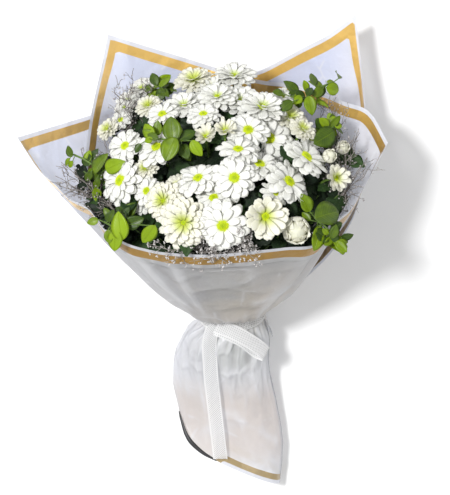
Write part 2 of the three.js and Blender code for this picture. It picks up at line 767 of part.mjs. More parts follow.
// Every head in turn, the nearest first, moves back along the line of sight until its petals and
// its stem clear all that is placed already. Its middle and its stem join their bundle.
function placeHeads(placed, greens) {
  const heads = [];
  HEADS.forEach((head, order) => {
    const start = onDome(head.right, head.up);
    const bundle = bundleAt(start.point);
    const strange = placed.filter((other) => !greens[bundle].includes(other));
    const [flower, middle] = head.form === "bud" ? [budPetals, budCup] : [petalsOf, middleOf];
    const places = [];
    for (let back = FIRST_BACK; back <= MOST_BACK; back += BACK_STEP) {
      for (const spin of [0, 0.2, 0.4]) places.push({ back, spin: spin + order });
    }
    const found = places.some(({ back, spin }) => {
      const point = start.point.clone().addScaledVector(start.sight, back);
      const { facing, matrix } = headFrame(point, start.normal, head.turn);
      const wide = moved(flower(head, spin, GAP), matrix);
      const green = moved(middle(head), matrix).add(stemOf(point, facing, bundle));
      if (placed.some((other) => touches(wide, other))) return false;
      if (strange.some((other) => touches(green, other))) return false;
      const ring = flower(head, spin);
      heads.push({ name: head.name, ring, matrix });
      greens[bundle].push(green);
      placed.push(moved(ring, matrix), green);
      return true;
    });
    if (!found) throw new Error(`${head.name} has no room`);
  });
  return heads;
}

// ---- Dry twigs --------------------------------------------------------------------------------
// Each spray stands on the core's rim at its own angle and runs to its targets: right, up,
// height. Short side shoots with a papery floret leave each branch by a seeded rule.
const SPRAYS = {
  dry_spray_left: {
    foot: -90,
    by: [-158, 150, 232],
    targets: [
      [-222, 208, 206], [-205, 190, 214], [-214, 176, 222], [-188, 176, 226],
      [-176, 150, 248], [-165, 236, 196], [-196, 226, 200],
    ],
  },
  dry_spray_right: {
    foot: 88,
    by: [146, 168, 224],
    targets: [
      [176, 214, 214], [166, 246, 190], [150, 286, 156], [134, 272, 176],
      [158, 196, 228], [150, 232, 204], [166, 168, 236],
    ],
  },
  dry_spray_front: {
    foot: 4,
    by: [-22, 92, 286],
    targets: [
      [-40, 128, 312], [-24, 112, 316], [2, 96, 314], [14, 112, 312], [-74, 84, 306],
      [-36, 70, 318], [-12, 64, 320],
    ],
  },
};
const BRANCH = 0.7; // radius of a dry branch
const FLORET = 2.6;
const SHOOTS = 1; // on each branch
const TRIES = 60;
const SEED = 12;

// A fixed row of numbers from 0 to 1 that look random.
function randomRow(seed) {
  let state = seed;
  return () => {
    state = (state * 1664525 + 1013904223) % 4294967296;
    return state / 4294967296;
  };
}

function floret(point) {
  const geometry = new THREE.TetrahedronGeometry(FLORET);
  return solidOfGeometry(geometry.translate(point.x, point.y, point.z));
}

function drySpray({ foot, by, targets }, placed, random) {
  const jitter = (size) => {
    const way = new THREE.Vector3(random(), random(), random());
    return way.subScalar(0.5).multiplyScalar(size);
  };
  const clear = (piece) => !placed.some((other) => touches(piece, other));
  const firstClear = (make) => {
    for (let i = 0; i < TRIES; i++) {
      const made = make(4 + i);
      if (clear(made.solid)) return made;
    }
    return null;
  };
  const base = inCore(radians(foot), 0.96, CORE_TOP + GAP);
  const trunk = firstClear((loose) => {
    const fork = seen(...by).add(jitter(loose));
    return { fork, solid: rod([base, fork], [1.2, BRANCH], 3) };
  });
  if (!trunk) throw new Error(`a spray has no room from ${foot} degrees`);
  const pieces = [trunk.solid];
  for (const target of targets) {
    const branch = firstClear((loose) => {
      const end = seen(...target).add(jitter(loose));
      return { end, solid: rod([trunk.fork, end], [BRANCH, BRANCH], 3).add(floret(end)) };
    });
    if (!branch) continue;
    pieces.push(branch.solid);
    for (let k = 0; k < SHOOTS; k++) {
      const from = trunk.fork.clone().lerp(branch.end, 0.45 + 0.25 * k);
      const to = from.clone().add(jitter(44));
      const shoot = rod([from, to], [BRANCH, BRANCH], 3).add(floret(to));
      if (clear(shoot)) pieces.push(shoot);
    }
  }
  return Manifold.union(pieces);
}

// ---- The lace ribbon --------------------------------------------------------------------------
const LACE = 1.2; // thickness
const RIBBON_WIDTH = 19;
const BAND_SIDES = 20;
const BAND_GAP = 0.9; // its flat sides come nearer to the film than its corners do
const KNOT = { angle: -32, size: 9 };
// The hanging end and the bow's loop: right, up, height of the middle of the strip.
const RIBBON_TAIL = [
  [-24, -5, 104], [-28, -18, 99], [-28, -60, 87], [-23, -110, 74], [-18, -152, 66], [-15, -178, 60],
];
const BOW_LOOP = [
  [-20, -5, 109], [4, -14, 111], [25, -26, 107], [41, -38, 98], [44, -42, 92], [38, -40, 90],
  [12, -22, 100], [-20, -8, 104],
];

// A flat strip through a line of points, wide along across.
function strip(points, across, width, thick) {
  const corners = [];
  points.forEach((point, i) => {
    const before = points[Math.max(i - 1, 0)];
    const after = points[Math.min(i + 1, points.length - 1)];
    const side = across.clone().multiplyScalar(width / 2);
    const over = after.clone().sub(before).cross(across).normalize().multiplyScalar(thick / 2);
    for (const [a, b] of [[1, 1], [-1, 1], [-1, -1], [1, -1]]) {
      corners.push(point.clone().addScaledVector(side, a).addScaledVector(over, b));
    }
  });
  const faces = [];
  for (let i = 0; i + 1 < points.length; i++)
    for (let k = 0; k < 4; k++) {
      const a = 4 * i + k;
      const b = 4 * i + ((k + 1) % 4);
      faces.push([a, b, b + 4], [a, b + 4, a + 4]);
    }
  const last = 4 * (points.length - 1);
  faces.push([0, 2, 1], [0, 3, 2], [last, last + 1, last + 2], [last, last + 2, last + 3]);
  return solidOf(corners, faces);
}

function band() {
  const inner = 2 * LAYER + FILM + BAND_GAP;
  const points = [];
  for (const [out, distance] of [[0, -10], [LACE, -10], [LACE, 10], [0, 10]])
    for (let k = 0; k < BAND_SIDES; k++) {
      const turn = (2 * Math.PI * k) / BAND_SIDES;
      points.push(
        along(distance)
          .addScaledVector(RIGHT, (NECK_WIDTH + inner + out) * Math.sin(turn))
          .addScaledVector(FRONT, (NECK_DEPTH + inner + out) * Math.cos(turn)),
      );
    }
  const faces = [];
  for (let ring = 0; ring < 4; ring++)
    for (let k = 0; k < BAND_SIDES; k++) {
      const a = ring * BAND_SIDES + k;
      const b = ring * BAND_SIDES + ((k + 1) % BAND_SIDES);
      const next = BAND_SIDES * ((ring + 1) % 4) - BAND_SIDES * ring;
      faces.push([a, b, b + next], [a, b + next, a + next]);
    }
  return solidOf(points, faces);
}

function laceRibbon() {
  const turn = radians(KNOT.angle);
  const reach = 2 * LAYER + FILM + LACE + 2;
  const middle = along(0)
    .addScaledVector(RIGHT, (NECK_WIDTH + reach) * Math.sin(turn))
    .addScaledVector(FRONT, (NECK_DEPTH + reach + 1) * Math.cos(turn));
  const lump = new THREE.SphereGeometry(KNOT.size, 7, 5).scale(1, 0.9, 0.55);
  const knot = solidOfGeometry(lump.translate(middle.x, middle.y, middle.z));
  const tail = strip(RIBBON_TAIL.map((point) => seen(...point)), X, RIBBON_WIDTH, LACE);
  const loop = BOW_LOOP.map((point) => seen(...point));
  const across = loop[3].clone().sub(loop[0]).cross(TO_VIEWER).normalize();
  return Manifold.union([band(), knot, tail, strip(loop, across, RIBBON_WIDTH, LACE)]);
}

// ---- The bunch --------------------------------------------------------------------------------
const bunch = new THREE.Group();
const wrap = new THREE.Group();
const flowers = new THREE.Group();
const filler = new THREE.Group();
bunch.add(wrap, flowers, filler);

function addPiece(group, name, solid, material) {
  const mesh = new THREE.Mesh(geometryOf(solid), material);
  mesh.name = name;
  group.add(mesh);
  return mesh;
}

const greens = BUNDLES.map((name, i) => [coreSlice(i), ...stemEnds(i)]);
for (const { bundle, solid } of SPRIGS.map(sprig)) greens[bundle].push(solid);
const placed = [...Object.values(sheets), ...greens.flat()];
for (const { name, ring, matrix } of placeHeads(placed, greens)) {
  addPiece(flowers, name, ring, white).applyMatrix4(matrix);
}
greens.forEach((pieces, i) => {
  addPiece(flowers, `stems_${BUNDLES[i]}`, Manifold.union(pieces), green);
});
Object.entries(SPRAYS).forEach(([name, spray], i) => {
  const solid = drySpray(spray, placed, randomRow(SEED + i));
  placed.push(solid);
  addPiece(filler, name, solid, dry);
});
for (const [name, solid] of Object.entries(sheets)) addPiece(wrap, name, solid, film);
addPiece(wrap, "lace_ribbon", laceRibbon(), lace);

export default bunch;
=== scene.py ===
# %% [markdown]
# # A bunch of daisies, wrapped and tied
#
# The bunch lies on its back, as a florist lays it down for a photograph: a dome of white daisy
# chrysanthemums with leafy sprigs and dry twigs, three sheets of milky film with a gold border,
# and a lace ribbon round the neck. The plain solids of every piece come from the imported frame.
# Here each of them gets its real surface, one lesson at a time.

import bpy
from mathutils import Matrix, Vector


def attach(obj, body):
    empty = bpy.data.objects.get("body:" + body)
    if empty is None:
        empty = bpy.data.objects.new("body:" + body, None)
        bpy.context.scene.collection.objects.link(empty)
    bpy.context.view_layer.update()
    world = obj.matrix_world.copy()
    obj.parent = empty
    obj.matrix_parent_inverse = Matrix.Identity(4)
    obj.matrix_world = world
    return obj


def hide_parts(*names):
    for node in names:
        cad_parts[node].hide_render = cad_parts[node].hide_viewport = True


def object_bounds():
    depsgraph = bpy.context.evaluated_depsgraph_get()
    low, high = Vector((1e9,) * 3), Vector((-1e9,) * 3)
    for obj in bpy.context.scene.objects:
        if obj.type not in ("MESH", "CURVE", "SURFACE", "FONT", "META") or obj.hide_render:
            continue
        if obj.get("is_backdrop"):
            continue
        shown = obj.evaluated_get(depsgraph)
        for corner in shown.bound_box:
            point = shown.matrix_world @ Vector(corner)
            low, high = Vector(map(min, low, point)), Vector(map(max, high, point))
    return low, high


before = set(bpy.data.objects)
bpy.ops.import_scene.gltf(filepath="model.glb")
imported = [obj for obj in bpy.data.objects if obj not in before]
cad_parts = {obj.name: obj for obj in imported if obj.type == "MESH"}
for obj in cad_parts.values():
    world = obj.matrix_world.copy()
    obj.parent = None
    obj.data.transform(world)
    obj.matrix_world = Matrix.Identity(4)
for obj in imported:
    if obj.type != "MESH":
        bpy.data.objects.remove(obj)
cad_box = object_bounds()
print("solids in the frame:", len(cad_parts))

# %% Tools of the trade
import math

import bmesh
import bpy
import numpy as np
from mathutils import Matrix, Vector

MM = 0.001
GOLDEN_TURN = math.radians(137.508)


def unit(way):
    """A direction, or an array of directions, at length 1."""
    way = np.asarray(way, float)
    return way / np.maximum(np.linalg.norm(way, axis=-1, keepdims=True), 1e-12)


def ease(low, high, value):
    """0 below low, 1 above high, and a soft slope in between."""
    share = np.clip((np.asarray(value, float) - low) / (high - low), 0, 1)
    return share * share * (3 - 2 * share)


# %% [markdown]
# ## Where the viewer stands
#
# The florist's photograph looks down on the bunch, a little from the foot end. All places below
# are read the way the eye reads them: so many millimetres to the right, so many up the picture,
# and a height over the table. A line of sight meets each height once, so those three numbers
# fix a point in space, and the front view comes out right however deep the bunch is.

# %% The line of sight
TIE = np.array((10, -223, 68.5)) * MM
VIEW_ZERO = np.array((10, -242, 64)) * MM
VIEW_LEAN = math.radians(15)
TO_VIEWER = np.array((0, math.sin(VIEW_LEAN), math.cos(VIEW_LEAN)))
VIEW_TOP = np.array((0, math.cos(VIEW_LEAN), -math.sin(VIEW_LEAN)))
TO_RIGHT = np.array((1.0, 0, 0))
VIEW_DISTANCE = 2400 * MM
EYE = VIEW_ZERO - 9 * MM * TO_RIGHT + 97 * MM * VIEW_TOP + VIEW_DISTANCE * TO_VIEWER
PICTURE_HEIGHT = 643.5 * MM  # what the long side of the picture spans at that distance


def seen(right, up, height):
    """The point at a height over the table that is seen so far right and up (all in mm)."""
    target = VIEW_ZERO + right * MM * TO_RIGHT + up * MM * VIEW_TOP
    sight = target - EYE
    return EYE + sight * (height * MM - EYE[2]) / sight[2]


camera_data = bpy.data.cameras.new("camera")
camera_data.lens = camera_data.sensor_width * VIEW_DISTANCE / PICTURE_HEIGHT
camera = bpy.data.objects.new("camera", camera_data)
bpy.context.scene.collection.objects.link(camera)
bpy.context.scene.camera = camera
axes = Matrix((TO_RIGHT, VIEW_TOP, TO_VIEWER)).transposed().to_4x4()
camera.matrix_world = Matrix.Translation(Vector(EYE)) @ axes
print("lens:", round(camera_data.lens, 1), "mm")

# %% [markdown]
# ## The bunch's own directions
#
# A bunch has an axis, from the tie to the middle of the flower dome, and everything in it is
# easiest to place by its angle round that axis: 0 in front, 90 at the right. The dome itself is
# a squashed ball, and the heads sit on it.

# %% Axis and dome
LEAN = math.radians(22)
DOME = TIE + np.array((-17, 230 * math.cos(LEAN), 230 * math.sin(LEAN))) * MM
AXIS = unit(DOME - TIE)
FRONT = np.array((0, -math.sin(LEAN), math.cos(LEAN)))
RIGHT = unit(np.cross(AXIS, FRONT))
NECK_WIDTH = 36 * MM
NECK_DEPTH = 28 * MM
LAYER = 2.2 * MM
NECK_LENGTH = 13 * MM


def outward(angle):
    """The way out from the axis at an angle in radians."""
    angle = np.asarray(angle, float)[..., None]
    return RIGHT * np.sin(angle) + FRONT * np.cos(angle)


def on_neck(angle, along, layer=0.0):
    """A point of the bound neck, so far along the axis from the tie."""
    wide = (NECK_WIDTH + layer * LAYER) * math.sin(angle)
    deep = (NECK_DEPTH + layer * LAYER) * math.cos(angle)
    return TIE + AXIS * along + RIGHT * wide + FRONT * deep


def round_axis(points):
    """Angle round the axis, distance from it and distance along it, of many points."""
    from_tie = np.asarray(points, float) - TIE
    right, front = from_tie @ RIGHT, from_tie @ FRONT
    return np.arctan2(right, front), np.hypot(right, front), from_tie @ AXIS


# %% [markdown]
# ## One way to make every surface
#
# Petals, leaves, twigs, ribbon and film are all the same thing to a mesh: a grid of points, row
# after row, sometimes closed into a tube. So one helper collects grids. Each point also carries
# its place on the flat material, which the finishes below use for veins, lace holes and
# borders, and a tone from 0 to 1 that makes one petal or leaf differ from the next.

# %% A pile of grids that becomes one mesh
class Pile:
    """Grids of points on their way to one mesh. A grid's kind is the number of its finish."""

    def __init__(self):
        self.points, self.flat, self.tone, self.faces, self.kinds = [], [], [], [], []
        self.total = 0

    def lay(self, grid, flat=None, tone=0.5, kind=0, solid=True):
        """Adds a grid. A solid joins the last column to the first and has a cap at each end."""
        rows, columns = grid.shape[:2]
        index = self.total + np.arange(rows * columns).reshape(rows, columns)
        ring = np.hstack([index, index[:, :1]]) if solid else index
        corners = (ring[:-1, :-1], ring[:-1, 1:], ring[1:, 1:], ring[1:, :-1])
        faces = np.stack(corners, -1).reshape(-1, 4).tolist()
        if solid:
            faces += [index[0][::-1].tolist(), index[-1].tolist()]
        if flat is None:
            across = np.linspace(0, 1, columns)[None, :].repeat(rows, 0)
            flat = np.stack([across, np.linspace(0, 1, rows)[:, None].repeat(columns, 1)], -1)
        self.points.append(grid.reshape(-1, 3))
        self.flat.append(np.asarray(flat, float).reshape(-1, 2))
        self.tone.append(np.broadcast_to(tone, (rows, columns)).reshape(-1))
        self.faces += faces
        self.kinds += [kind] * len(faces)
        self.total += rows * columns

    def piece(self, name, finishes, slot, replaces=(), turn_out=True):
        """The pile as one object that rides on the bunch and stands for some solids."""
        mesh = bpy.data.meshes.new(name)
        mesh.from_pydata(np.concatenate(self.points).tolist(), [], self.faces)
        for finish in finishes:
            mesh.materials.append(finish)
        mesh.polygons.foreach_set("material_index", self.kinds)
        mesh.polygons.foreach_set("use_smooth", [True] * len(self.faces))
        corner = np.zeros(len(mesh.loops), np.int32)
        mesh.loops.foreach_get("vertex_index", corner)
        flat = np.concatenate(self.flat)[corner]
        mesh.uv_layers.new(name="flat").data.foreach_set("uv", flat.ravel())
        tone = mesh.attributes.new("tone", "FLOAT", "POINT")
        tone.data.foreach_set("value", np.concatenate(self.tone).astype(np.float32))
        if turn_out:
            work = bmesh.new()
            work.from_mesh(mesh)
            bmesh.ops.recalc_face_normals(work, faces=work.faces)
            work.to_mesh(mesh)
            work.free()
        made = bpy.data.objects.new(name, mesh)
        bpy.context.scene.collection.objects.link(made)
        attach(made, "root")
        if replaces:
            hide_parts(*replaces)
        return made


# %% [markdown]
# ## Smooth lines from a few points
#
# A florist's curve is given by the few places it passes. A Catmull-Rom spline goes through all
# of them, and its slope at each place comes from the two neighbours, so it needs no handles.

# %% Splines
def smooth(points, places, at):
    """Catmull-Rom through points at uneven places, sampled at new places."""
    points, places, at = np.asarray(points, float), np.asarray(places, float), np.asarray(at)
    steps = np.diff(places)
    shape = (-1,) + (1,) * (points.ndim - 1)
    slopes = np.diff(points, axis=0) / steps.reshape(shape)
    before, after = steps[:-1].reshape(shape), steps[1:].reshape(shape)
    inner = (slopes[:-1] * after + slopes[1:] * before) / (before + after)
    tangents = np.concatenate([slopes[:1], inner, slopes[-1:]])
    index = np.clip(np.searchsorted(places, at, side="right") - 1, 0, len(steps) - 1)
    step = steps[index].reshape(shape)
    t = ((at - places[index]) / steps[index]).reshape(shape)
    start, end = points[index], points[index + 1]
    pull, push = tangents[index] * step, tangents[index + 1] * step
    return (
        (2 * t**3 - 3 * t**2 + 1) * start
        + (t**3 - 2 * t**2 + t) * pull
        + (3 * t**2 - 2 * t**3) * end
        + (t**3 - t**2) * push
    )


def line_through(points, count):
    """A smooth line through the points, in count even steps."""
    points = np.asarray(points, float)
    places = np.concatenate([[0], np.cumsum(np.linalg.norm(np.diff(points, axis=0), axis=1))])
    return smooth(points, places, np.linspace(0, places[-1], count))


def tube(line, radii, sides):
    """A round stem along a line of points."""
    line = np.asarray(line, float)
    way = unit(np.gradient(line, axis=0))
    aside = TO_RIGHT if abs(unit(line[-1] - line[0])[0]) < 0.8 else VIEW_TOP
    across = unit(np.cross(way, aside))
    other = np.cross(way, across)
    turn = np.linspace(0, 2 * math.pi, sides, endpoint=False)[None, :, None]
    radii = np.broadcast_to(radii, len(line))[:, None, None]
    return line[:, None] + radii * (across[:, None] * np.cos(turn) + other[:, None] * np.sin(turn))


def lay_tube(pile, line, radii, tone, sides=6):
    """A round stem on a pile, in the pile's first finish."""
    pile.lay(tube(line, radii, sides), tone=tone)


def sides_of(facing):
    """Two directions at right angles to a facing and to each other."""
    side = unit(np.cross(facing, VIEW_TOP))
    return side, np.cross(facing, side)


def turned(side, up, turn):
    """The direction at an angle from side towards up."""
    return side * math.cos(turn) + up * math.sin(turn)


def all_round(side, up, count):
    """Even directions all the way round, from side towards up."""
    turn = np.linspace(0, 2 * math.pi, count, endpoint=False)[:, None]
    return side * np.cos(turn) + up * np.sin(turn)


# %% [markdown]
# ## Shader sums written as sums
#
# A finish is a small calculation: where is the border, how green is the middle. Blender asks for
# one node per step of it. This class wraps a socket and overloads +, - and *, so the calculation is
# written as it is thought, and each operator adds its own Math node.

# %% Values that calculate in nodes
class Value:
    def __init__(self, finish, socket):
        self.finish, self.socket = finish, socket

    def _math(self, operation, first, second=0.0):
        node = self.finish.add("ShaderNodeMath", {"operation": operation}, {0: first, 1: second})
        return Value(self.finish, node.outputs[0])

    def __add__(self, other):
        return self._math("ADD", self, other)

    def __sub__(self, other):
        return self._math("SUBTRACT", self, other)

    def __rsub__(self, other):
        return self._math("SUBTRACT", other, self)

    def __mul__(self, other):
        return self._math("MULTIPLY", self, other)

    __radd__, __rmul__ = __add__, __mul__

    def sine(self):
        return self._math("SINE", self)

    def size(self):
        return self._math("ABSOLUTE", self)

    def above(self, low, high):
        """0 below low, 1 above high, softly in between."""
        settings = {"interpolation_type": "SMOOTHSTEP", "clamp": True}
        sockets = {"Value": self, "From Min": low, "From Max": high}
        node = self.finish.add("ShaderNodeMapRange", settings, sockets)
        return Value(self.finish, node.outputs["Result"])


class Finish:
    """A material in the making: one Principled shader and the nodes that feed it."""

    def __init__(self, name, **constants):
        self.material = bpy.data.materials.new(name)
        self.material.use_nodes = True
        self.tree = self.material.node_tree
        self.shader = self.tree.nodes["Principled BSDF"]
        self.set(self.shader, constants)

    def set(self, node, sockets):
        for key, value in sockets.items():
            key = key.replace("_", " ") if isinstance(key, str) else key
            socket = node.inputs[key]
            if isinstance(value, Value):
                value = value.socket
            if isinstance(value, bpy.types.NodeSocket):
                self.tree.links.new(value, socket)
            elif hasattr(value, "__len__") and len(value) == 3 and socket.type == "RGBA":
                socket.default_value = (*value, 1)
            else:
                socket.default_value = value

    def add(self, kind, settings=None, sockets=None):
        """Any node: its settings first, such as an operation, then its sockets."""
        node = self.tree.nodes.new(kind)
        for key, value in (settings or {}).items():
            setattr(node, key, value)
        self.set(node, sockets or {})
        return node

    def feed(self, **sockets):
        self.set(self.shader, sockets)

    def mix(self, share, first, second):
        """Colour: first at share 0, second at share 1."""
        sockets = {0: share, 6: first, 7: second}
        return self.add("ShaderNodeMix", {"data_type": "RGBA"}, sockets).outputs[2]

    def flat(self):
        """The two numbers of the place on the flat material."""
        place = self.add("ShaderNodeUVMap", {"uv_map": "flat"})
        parts = self.add("ShaderNodeSeparateXYZ", None, {0: place.outputs[0]})
        return Value(self, parts.outputs[0]), Value(self, parts.outputs[1])

    def tone(self):
        node = self.add("ShaderNodeAttribute", {"attribute_name": "tone"})
        return Value(self, node.outputs["Fac"])

    def noise(self, scale, detail=3.0, roughness=0.5):
        where = self.add("ShaderNodeTexCoord").outputs["Object"]
        sockets = {"Vector": where, "Scale": scale, "Detail": detail, "Roughness": roughness}
        return Value(self, self.add("ShaderNodeTexNoise", None, sockets).outputs["Fac"])

    def bump(self, height, distance, strength):
        sockets = {"Height": height, "Distance": distance, "Strength": strength}
        self.feed(Normal=self.add("ShaderNodeBump", None, sockets).outputs["Normal"])

    def glow_through(self, share, colour):
        """Lets light from behind show, as it does through a petal, a leaf or milky film."""
        through = self.add("ShaderNodeBsdfTranslucent", None, {"Color": colour})
        both = self.add("ShaderNodeMixShader", None, {0: share})
        self.tree.links.new(self.shader.outputs[0], both.inputs[1])
        self.tree.links.new(through.outputs[0], both.inputs[2])
        out = self.tree.nodes["Material Output"]
        self.tree.links.new(both.outputs[0], out.inputs["Surface"])


# %% [markdown]
# ## White petals
#
# A chrysanthemum petal is matt and almost pure white, with fine grooves from base to tip and a
# breath of green where it leaves the head. The grooves are far too fine for geometry, so they
# are a bump across the petal. Light passes through it, which keeps shaded petals cool and pale
# instead of grey. The double heads are the same flower at another age: creamy, and greener
# towards the middle.

# %% Petal finishes
PETAL_WHITE = (0.97, 0.97, 0.94)


def petal_finish(name, outer, inner, green_from, green_to):
    """The green blush depends on how far from the middle of its head a petal point lies."""
    finish = Finish(name, Roughness=0.55, Specular_IOR_Level=0.3)
    across, from_middle = finish.flat()
    tone = finish.tone()
    blush = finish.mix(from_middle.above(green_from, green_to), inner, outer)
    shaded = finish.mix(tone * 0.12, blush, (0.88, 0.89, 0.80))
    finish.feed(Base_Color=shaded)
    grooves = (across * 34).sine() * 0.5 + finish.noise(900) * 0.6
    finish.bump(grooves, 0.00035, 0.55)
    finish.glow_through(0.44, outer)
    return finish.material


petal_white = petal_finish("petal_white", PETAL_WHITE, (0.66, 0.78, 0.22), 0.12, 0.36)
petal_cream = petal_finish("petal_cream", (0.96, 0.95, 0.86), (0.66, 0.76, 0.08), 0.14, 0.60)
print("petals:", petal_white.name, "and", petal_cream.name)

# %% [markdown]
# ## The yellow-green eye
#
# The disc of a daisy is a crowd of tiny florets. The outer ones are open and yellow, the inner
# ones still closed and green, so the colour follows the distance from the middle, which each
# floret carries as its tone.

# %% Disc finish
disc_finish = Finish("daisy_disc", Roughness=0.5, Specular_IOR_Level=0.4)
disc_tone = disc_finish.tone()
disc_grain = disc_finish.noise(1400)
disc_colour = disc_finish.mix(disc_tone.above(0.0, 0.70), (0.28, 0.44, 0.004), (0.60, 0.70, 0.004))
disc_colour = disc_finish.mix(disc_grain * 0.25, disc_colour, (0.74, 0.78, 0.010))
disc_finish.feed(Base_Color=disc_colour)
disc_finish.bump(disc_grain, 0.0004, 0.6)
daisy_disc = disc_finish.material
print(daisy_disc.name, "nodes:", len(disc_finish.tree.nodes))

# %% [markdown]
# ## Greens
#
# Three greens make the bunch look alive: the bright glossy leaves of the added sprigs, the dull
# dark lobed leaves of the chrysanthemums themselves deep in the bunch, and the ribbed stems. The
# dark leaves go down to near black, which is painted shade of the bunch's depths on top of their
# own dark green. A leaf's veins come from its flat place: the midrib is the middle line, and the
# side veins leave it at a slant.

# %% Leaf and stem finishes
def leaf_finish(name, dark, light, roughness, coat, veins):
    finish = Finish(name, Roughness=roughness, Specular_IOR_Level=0.4, Coat_Weight=coat,
                    Coat_Roughness=0.3)
    across, along = finish.flat()
    side = (across - 0.5).size()
    midrib = 1 - side.above(0.0, 0.03)
    slanted = ((along - side * 0.55) * veins).sine().above(0.86, 1.0)
    mottle = finish.noise(140, 4)
    age = finish.tone() * 0.95 + (mottle - 0.5) * 0.5
    colour = finish.mix(age.above(0.0, 1.0), dark, light)
    pale = tuple(min(1, 1.4 * part + 0.015) for part in light)
    colour = finish.mix(midrib * 0.30 + slanted * 0.14, colour, pale)
    finish.feed(Base_Color=colour)
    finish.bump(mottle * 0.7 - midrib * 0.9 - slanted * 0.5, 0.0011, 0.7)
    finish.glow_through(0.20, tuple(0.8 * part for part in light))
    return finish.material


leaf_bright = leaf_finish("leaf_bright", (0.030, 0.070, 0.006), (0.27, 0.41, 0.004), 0.42, 0.10, 62)
# Painted shade in part: the dark leaves run down to near black, darker than their own green.
leaf_dark = leaf_finish("leaf_dark", (0.006, 0.016, 0.006), (0.030, 0.075, 0.014), 0.6, 0.0, 34)

stem_finish = Finish("stem_green", Roughness=0.5, Specular_IOR_Level=0.4)
around, _ = stem_finish.flat()
stem_ribs = (around * 44).sine()
stem_mottle = stem_finish.noise(220, 4)
stem_colour = stem_finish.mix(stem_finish.tone() * 0.8, (0.05, 0.11, 0.02), (0.20, 0.34, 0.05))
stem_colour = stem_finish.mix(stem_mottle * 0.35, stem_colour, (0.12, 0.14, 0.05))
stem_finish.feed(Base_Color=stem_colour)
stem_finish.bump(stem_ribs * 0.4 + stem_mottle, 0.0004, 0.6)
stem_green = stem_finish.material
print("greens:", leaf_bright.name, leaf_dark.name, stem_green.name)

# %% [markdown]
# ## Dry twigs and papery florets
#
# Sea lavender keeps its shape when it dries: thin, rough, grey-brown twigs with tiny florets as
# dry as paper. Both are matt, and the florets let some light through.

# %% Dry finishes
twig_finish = Finish("dry_twig", Roughness=0.85, Specular_IOR_Level=0.2)
twig_grain = twig_finish.noise(500, 5)
twig_colour = twig_finish.mix(twig_finish.tone(), (0.075, 0.060, 0.052), (0.50, 0.46, 0.42))
twig_finish.feed(Base_Color=twig_finish.mix(twig_grain * 0.35, twig_colour, (0.30, 0.29, 0.28)))
twig_finish.bump(twig_grain, 0.0004, 0.8)
dry_twig = twig_finish.material

papery = Finish("papery_floret", Roughness=0.8, Specular_IOR_Level=0.15)
papery_grain = papery.noise(900, 3)
papery_colour = papery.mix(papery.tone(), (0.26, 0.24, 0.24), (0.86, 0.84, 0.82))
papery.feed(Base_Color=papery.mix(papery_grain * 0.3, papery_colour, (0.62, 0.56, 0.58)))
papery.bump(papery_grain, 0.0003, 0.5)
papery.glow_through(0.25, (0.7, 0.66, 0.62))
papery_floret = papery.material
print("dry finishes:", dry_twig.name, papery_floret.name)

# %% [markdown]
# ## Milky film with a gold border
#
# The film is thin frosted plastic. It is printed with a gold line about 12 mm wide, narrower on
# the skirt, and outside of the line a white margin of 5 mm is left. Every point of a sheet knows
# how far it is from the sheet's edge, so the line follows the edge round the corners with neat
# mitres.

# %% Border of the film
MARGIN = 5 * MM
BORDER = 12 * MM
LESS_ON_SKIRT = 3.5 * MM
film_finish = Finish("milky_film", Specular_IOR_Level=0.5)
from_edge, _ = film_finish.flat()
# The tone: fold depth and nearness to the skirt's right side, which the colours below turn into
# painted shade and light.
depth = film_finish.tone()
place_on_bunch = film_finish.add("ShaderNodeTexCoord").outputs["Object"]
parts = film_finish.add("ShaderNodeSeparateXYZ", None, {0: place_on_bunch})
# Metres to the right and up the bunch.
film_x, film_y = Value(film_finish, parts.outputs[0]), Value(film_finish, parts.outputs[1])
skirt = 1 - film_y.above(-0.262, -0.225)


def past(distance, place, blur=0.4 * MM):
    """0 before a place and 1 past it, with a slightly soft step as in print."""
    return distance.above(place - blur, place + blur)


gold = past(from_edge, MARGIN) * (1 - past(from_edge + skirt * LESS_ON_SKIRT, MARGIN + BORDER))
margin = 1 - past(from_edge, MARGIN, 0.5 * MM)

# %% [markdown]
# Film has hardly a colour of its own. It shows the daylight and what it lies against, so its
# colour is laid on in layers, each with the share by which it covers the ones before. Some layers
# are painted light and shade: the grey the film starts with is painted shade on the front of the
# wrap, and the gold is painted dark there and bright on the lit flaps. The tone of a point says
# how deep in a fold it lies: valleys are painted greyer as shade and crests paler as light, and
# the right side of the skirt, where the film turns away in many layers, is painted nearly black
# as shade.

# %% Colours of the film
film_cloud = film_finish.noise(11, 3)
corners_up = film_y.above(-0.02, 0.10)
flap = corners_up + (1 - corners_up) * (1 - film_x.above(-0.22, -0.13))
warm = film_x.above(-0.12, 0.07) * (1 - film_y.above(-0.20, -0.07)) * film_cloud.above(0.28, 0.50)
blush = skirt * (1 - film_y.above(-0.36, -0.31)) * film_y.above(-0.47, -0.42)
# Painted shade: the film starts grey, the shade on the front of the wrap, which faces away from the
# main light; the layers below cover it elsewhere.
film_colour = film_finish.mix(film_cloud, (0.52, 0.52, 0.53), (0.70, 0.70, 0.71))
for share, colour in (
    (warm * 0.8, (0.72, 0.62, 0.50)),
    (flap, (0.66, 0.72, 0.95)),
    (film_x.above(0.12, 0.18) * 0.7, (0.88, 0.85, 0.88)),
    (skirt, (0.90, 0.90, 0.91)),
    (blush * film_cloud.above(0.32, 0.52) * 0.8, (0.78, 0.68, 0.59)),
    # painted shade in the valleys of the folds
    (depth.above(0.36, 0.70) * 0.52, (0.46, 0.45, 0.46)),
    # painted light on the crests of the folds
    ((1 - depth.above(0.0, 0.34)) * 0.6, (0.98, 0.98, 1.0)),
    (margin, (0.78, 0.79, 0.84)),
):
    film_colour = film_finish.mix(share, film_colour, colour)
